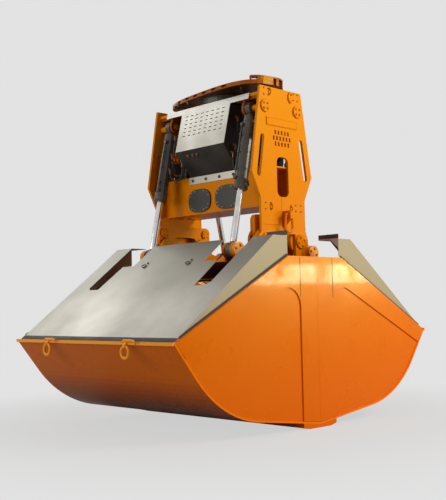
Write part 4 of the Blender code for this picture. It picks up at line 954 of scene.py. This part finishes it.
(headX, headZ), (rodX, rodZ) = cylinder["headPin"], cylinder["rodPin"]
slope = (rodX - headX) / (headZ - rodZ)
below = hoseLook["elbow"] + hoseLook["sleeve"] - hoseLook["overlap"]
for corner, side, way in corners:
    barrel = f"barrel_{corner}"
    boxFace = boxes["valve_box"][way > 0][1]
    barrelFace = way * (cylinder["plane"] - cylinder["barrel"])
    fromBox, fromBarrel = bmesh.new(), bmesh.new()
    for loopName, (boxHeight, boxX, barrelHeight, turn) in hoseLook["loops"].items():
        barrelX = headX + slope * (headZ - barrelHeight)
        elbowFitting(fromBox, boxFace, -way * hoseLook["boxOut"], side * boxX, boxHeight)
        elbowFitting(fromBarrel, barrelFace, way * hoseLook["barrelIn"], side * barrelX, barrelHeight)
        start = Vector((side * boxX, boxFace + way * hoseLook["boxOut"], boxHeight - below))
        finish = Vector((side * barrelX, barrelFace - way * hoseLook["barrelIn"], barrelHeight - below))
        route = hoseRoute(start, finish, turn)
        length = sum((b - a).length for a, b in zip(route, route[1:]))
        shape = bmesh.new()
        addTube(shape, route, hoseLook["diameter"] / 2, 14)
        hose = addPiece(f"hose_{loopName}_{corner}", shape, "rubber", None, 60)
        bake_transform(hose)
    addPiece(f"boxElbows_{corner}", fromBox, "fitting", "frame")
    addPiece(f"barrelElbows_{corner}", fromBarrel, "fitting", barrel)
print("stage: hoses")


# Box: plugs in its sloping lower face; head: small fittings under the hoop

plugLook = {
    "places": (0.171, 0.109, 0.059),
    "foot": (0.175, 2.036),  # lower and upper edge of the sloping face
    "top": (0.3165, 2.240),
    "share": 0.79,
    "size": 0.022,
    "hang": ((-0.222, 0.360, 0.019), (-0.205, 0.250, 0.015), (-0.190, 0.440, 0.015)),
    "hangFrom": 2.688,
    "drop": 0.024,
}

foot, top = Vector(plugLook["foot"]), Vector(plugLook["top"])
spot = foot.lerp(top, plugLook["share"])
outward = Vector((top.y - foot.y, foot.x - top.x)).normalized()
for sideName, side in sides.items():
    shape = bmesh.new()
    for y in plugLook["places"]:
        addBolt(shape, (side * spot.x, y, spot.y), (side * outward.x, 0, outward.y), plugLook["size"])
    addPiece(f"boxPlugs_{sideName}", shape, "fitting", "frame")
shape = bmesh.new()
for x, y, radius in plugLook["hang"]:
    at = facing((x, y, plugLook["hangFrom"]), (0, 0, -1))
    drop = plugLook["drop"]
    profile = [(radius, 0), (radius, drop * 0.5), (radius * 0.72, drop * 0.6),
               (radius * 0.72, drop - 0.003), (radius * 0.55, drop)]
    addTurned(shape, profile, at, 18)
addPiece("headFittings", shape, "fitting", "head")


# Far end plate: covers over its side slots, because no light shows through them

slotCover = {
    "low": (0.2764, 1.955),
    "high": (0.2332, 2.250),
    "half": 0.034,
    "gap": 0.0003,
    "thick": 0.004,
    "bolt": 0.010,
    "boltPast": 0.027,  # beyond the middles of the round ends
}

face = boxes["end_plate_far"][1][1]
shape = bmesh.new()
for side in sides.values():
    low, high = Vector(slotCover["low"]), Vector(slotCover["high"])
    ahead = (high - low).normalized()
    across = Vector((ahead.y, -ahead.x))
    outline = []
    for end, turn in ((high, 0), (low, math.pi)):
        for i in range(9):
            angle = turn + math.pi * i / 8
            outline.append(end + (across * math.cos(angle) + ahead * math.sin(angle)) * slotCover["half"])
    addPlate(shape, side, outline, (face + slotCover["gap"], face + slotCover["thick"]))
    for end in (low - ahead * slotCover["boltPast"], high + ahead * slotCover["boltPast"]):
        addBolt(shape, (side * end.x, face + slotCover["thick"], end.y), (0, 1, 0), slotCover["bolt"])
addPiece("slotCovers_far", shape, "orange_paint", "frame")
print("stage: small fittings")


# Valve blocks on the beam, between the box and the end plates

blockLook = {
    "from": 0.330,
    "to": 0.520,
    "half": 0.155,
    "foot": 2.0365,
    "high": 2.185,
    "base": 0.012,  # thickness of the base plate
    "baseWider": 0.030,
    "coils": (-0.105, 0.0, 0.105),
    "coil": ((0.024, 0), (0.024, 0.040), (0.020, 0.044), (0.012, 0.046), (0.012, 0.058), (0.009, 0.061)),
    "plug": 0.030,
}

for endName, way in ends.items():
    shape = bmesh.new()
    middle = way * (blockLook["from"] + blockLook["to"]) / 2
    long = blockLook["to"] - blockLook["from"]
    wide = blockLook["half"] * 2
    tall = blockLook["high"] - blockLook["foot"]
    more = blockLook["baseWider"]
    up = facing((0, middle, blockLook["foot"]), (0, 0, 1), (0, 1, 0))
    addSlab(shape, roundedBox(wide + more, long, 0.008), blockLook["base"], up, 0.002)
    addSlab(shape, roundedBox(wide, long - more, 0.006), tall, up, 0.004)
    for x in blockLook["coils"]:
        # solenoids on top and screwed plugs in both long faces
        addTurned(shape, blockLook["coil"], facing((x, middle, blockLook["high"] - 0.001), (0, 0, 1)), 18)
        for face in (-1, 1):
            spot = (x, middle + face * (long - more) / 2, blockLook["foot"] + tall * 0.55)
            addBolt(shape, spot, (0, face, 0), blockLook["plug"])
    addPiece(f"valveBlock_{endName}", shape, "black_paint", "frame")
print("stage: valve blocks")


# Covers: rubber seals, latches

coverLook = {
    "fold": (0.460, 1.446),
    "low": (1.4347, 0.7042),
    "half": 0.930,
    "slopeTop": (0.316, 1.295),
    "slopeTip": (1.459, 0.691),
    "seal": 0.040,
    "sealThick": 0.0022,
    "lift": 0.0002,  # seal over the sheet, and beside the skirt
    "footSeal": (0.013, 0.016),  # its height at the tip and at the top
    "footLift": 0.0006,
    "footShort": 0.075,
    "footWide": 0.0065,
    "latchDown": 0.295,
    "latchPlace": 0.264,
    "latchBar": 0.0040,
    "latchFoot": ((0.007, 0.0), (0.007, 0.008), (0.005, 0.010)),
}

for sideName, side in sides.items():
    fold, low = Vector(coverLook["fold"]), Vector(coverLook["low"])
    down = (low - fold).normalized()
    normal = Vector((-down.y, down.x))
    half, lift = coverLook["half"], coverLook["lift"]
    shape = bmesh.new()
    start = low - down * coverLook["seal"] + normal * lift
    finish = low - down * 0.002 + normal * lift
    thick = normal * coverLook["sealThick"]
    outline = [start, finish, finish + thick, start + thick + down * 0.003]
    addPlate(shape, side, outline, (-half + 0.001, half - 0.001))
    # seal along the foot of each skirt, on the sloped edge of the side plates
    top, tip = Vector(coverLook["slopeTop"]), Vector(coverLook["slopeTip"])
    along = (tip - top).normalized()
    outward = Vector((-along.y, along.x))
    reach = (tip - top).length - coverLook["footShort"]
    first = top + outward * coverLook["footLift"]
    last = top + along * reach + outward * coverLook["footLift"]
    atTip, atTop = coverLook["footSeal"]
    outline = [first, last, last + outward * atTip, first + outward * atTop]
    for way in ends.values():
        span = sorted((way * (half + lift), way * (half + coverLook["footWide"])))
        addPlate(shape, side, outline, span)
    addPiece(f"coverSeals_{sideName}", shape, "rubber", f"shell_{sideName}")
    shape = bmesh.new()
    for y in (-coverLook["latchPlace"], coverLook["latchPlace"]):
        # bent bar beside a small foot
        spot = fold + down * coverLook["latchDown"]
        at = facing((side * spot.x, y, spot.y), (side * normal.x, 0, normal.y), (0, 1, 0))
        bar = [(0.017 * math.cos(a) - 0.008, 0.023 * math.sin(a), 0.006 + 0.003 * math.sin(a))
               for a in (math.radians(-200 + 21 * i) for i in range(16))]
        addTube(shape, [at @ Vector(p) for p in bar], coverLook["latchBar"], 8)
        addTurned(shape, coverLook["latchFoot"], at @ Matrix.Translation((0.034, -0.006, 0)), 12)
    addPiece(f"coverLatches_{sideName}", shape, "darkBolt", f"shell_{sideName}")
print("stage: covers")


# Rear rims: bent bars that hold the lifting rings, and forged rings, thicker away from their eye

staple = {"y": 0.478, "radius": 0.0080, "reach": 0.105, "in": 0.010, "rise": 0.008}
ringLook = {"thick": 1.55, "thinner": 0.5, "steps": 32}  # in shares of the solid ring's bar

for sideName, side in sides.items():
    shape = bmesh.new()
    low, high = boxes[f"rear_rim_{sideName}"]
    x = side * (max(abs(low.x), abs(high.x)) - staple["in"])
    top, reach, rise = high.z, staple["reach"], staple["rise"]
    for way in ends.values():
        y = way * staple["y"]
        bar = [(x, y + 0.016, top - 0.004), (x, y + 0.012, top + 0.004), (x, y + 0.002, top + rise)]
        bar += [(x, y - reach * i / 6, top + rise) for i in range(1, 6)]
        bar += [(x, y - reach, top + 0.003), (x, y - reach - 0.006, top - 0.004)]
        addTube(shape, bar, staple["radius"], 10)
    addPiece(f"ringStaples_{sideName}", shape, "highlightPaint", f"shell_{sideName}")
    for endName in ends:
        shape = bmesh.new()
        low, high = boxes[f"lifting_ring_{sideName}_{endName}"]
        middle = (low + high) / 2
        thin = min(high.x - low.x, high.y - low.y) / 2
        radius = (high.z - low.z) / 2 - thin
        acrossX = high.x - low.x > high.y - low.y
        path, radii = [], []
        for i in range(ringLook["steps"] + 1):
            angle = math.pi / 2 + 2 * math.pi * i / ringLook["steps"]
            flat, up = radius * math.cos(angle), radius * math.sin(angle)
            path.append(middle + Vector((flat, 0, up) if acrossX else (0, flat, up)))
            radii.append(thin * (ringLook["thick"] - ringLook["thinner"] * max(0, math.sin(angle)) ** 2))
        addTube(shape, path, radii, 10)
        ring = addPiece(f"ring_{sideName}_{endName}", shape, "highlightPaint", f"ring_{sideName}_{endName}", 60)
        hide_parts(f"lifting_ring_{sideName}_{endName}")
print("stage: rear rims")
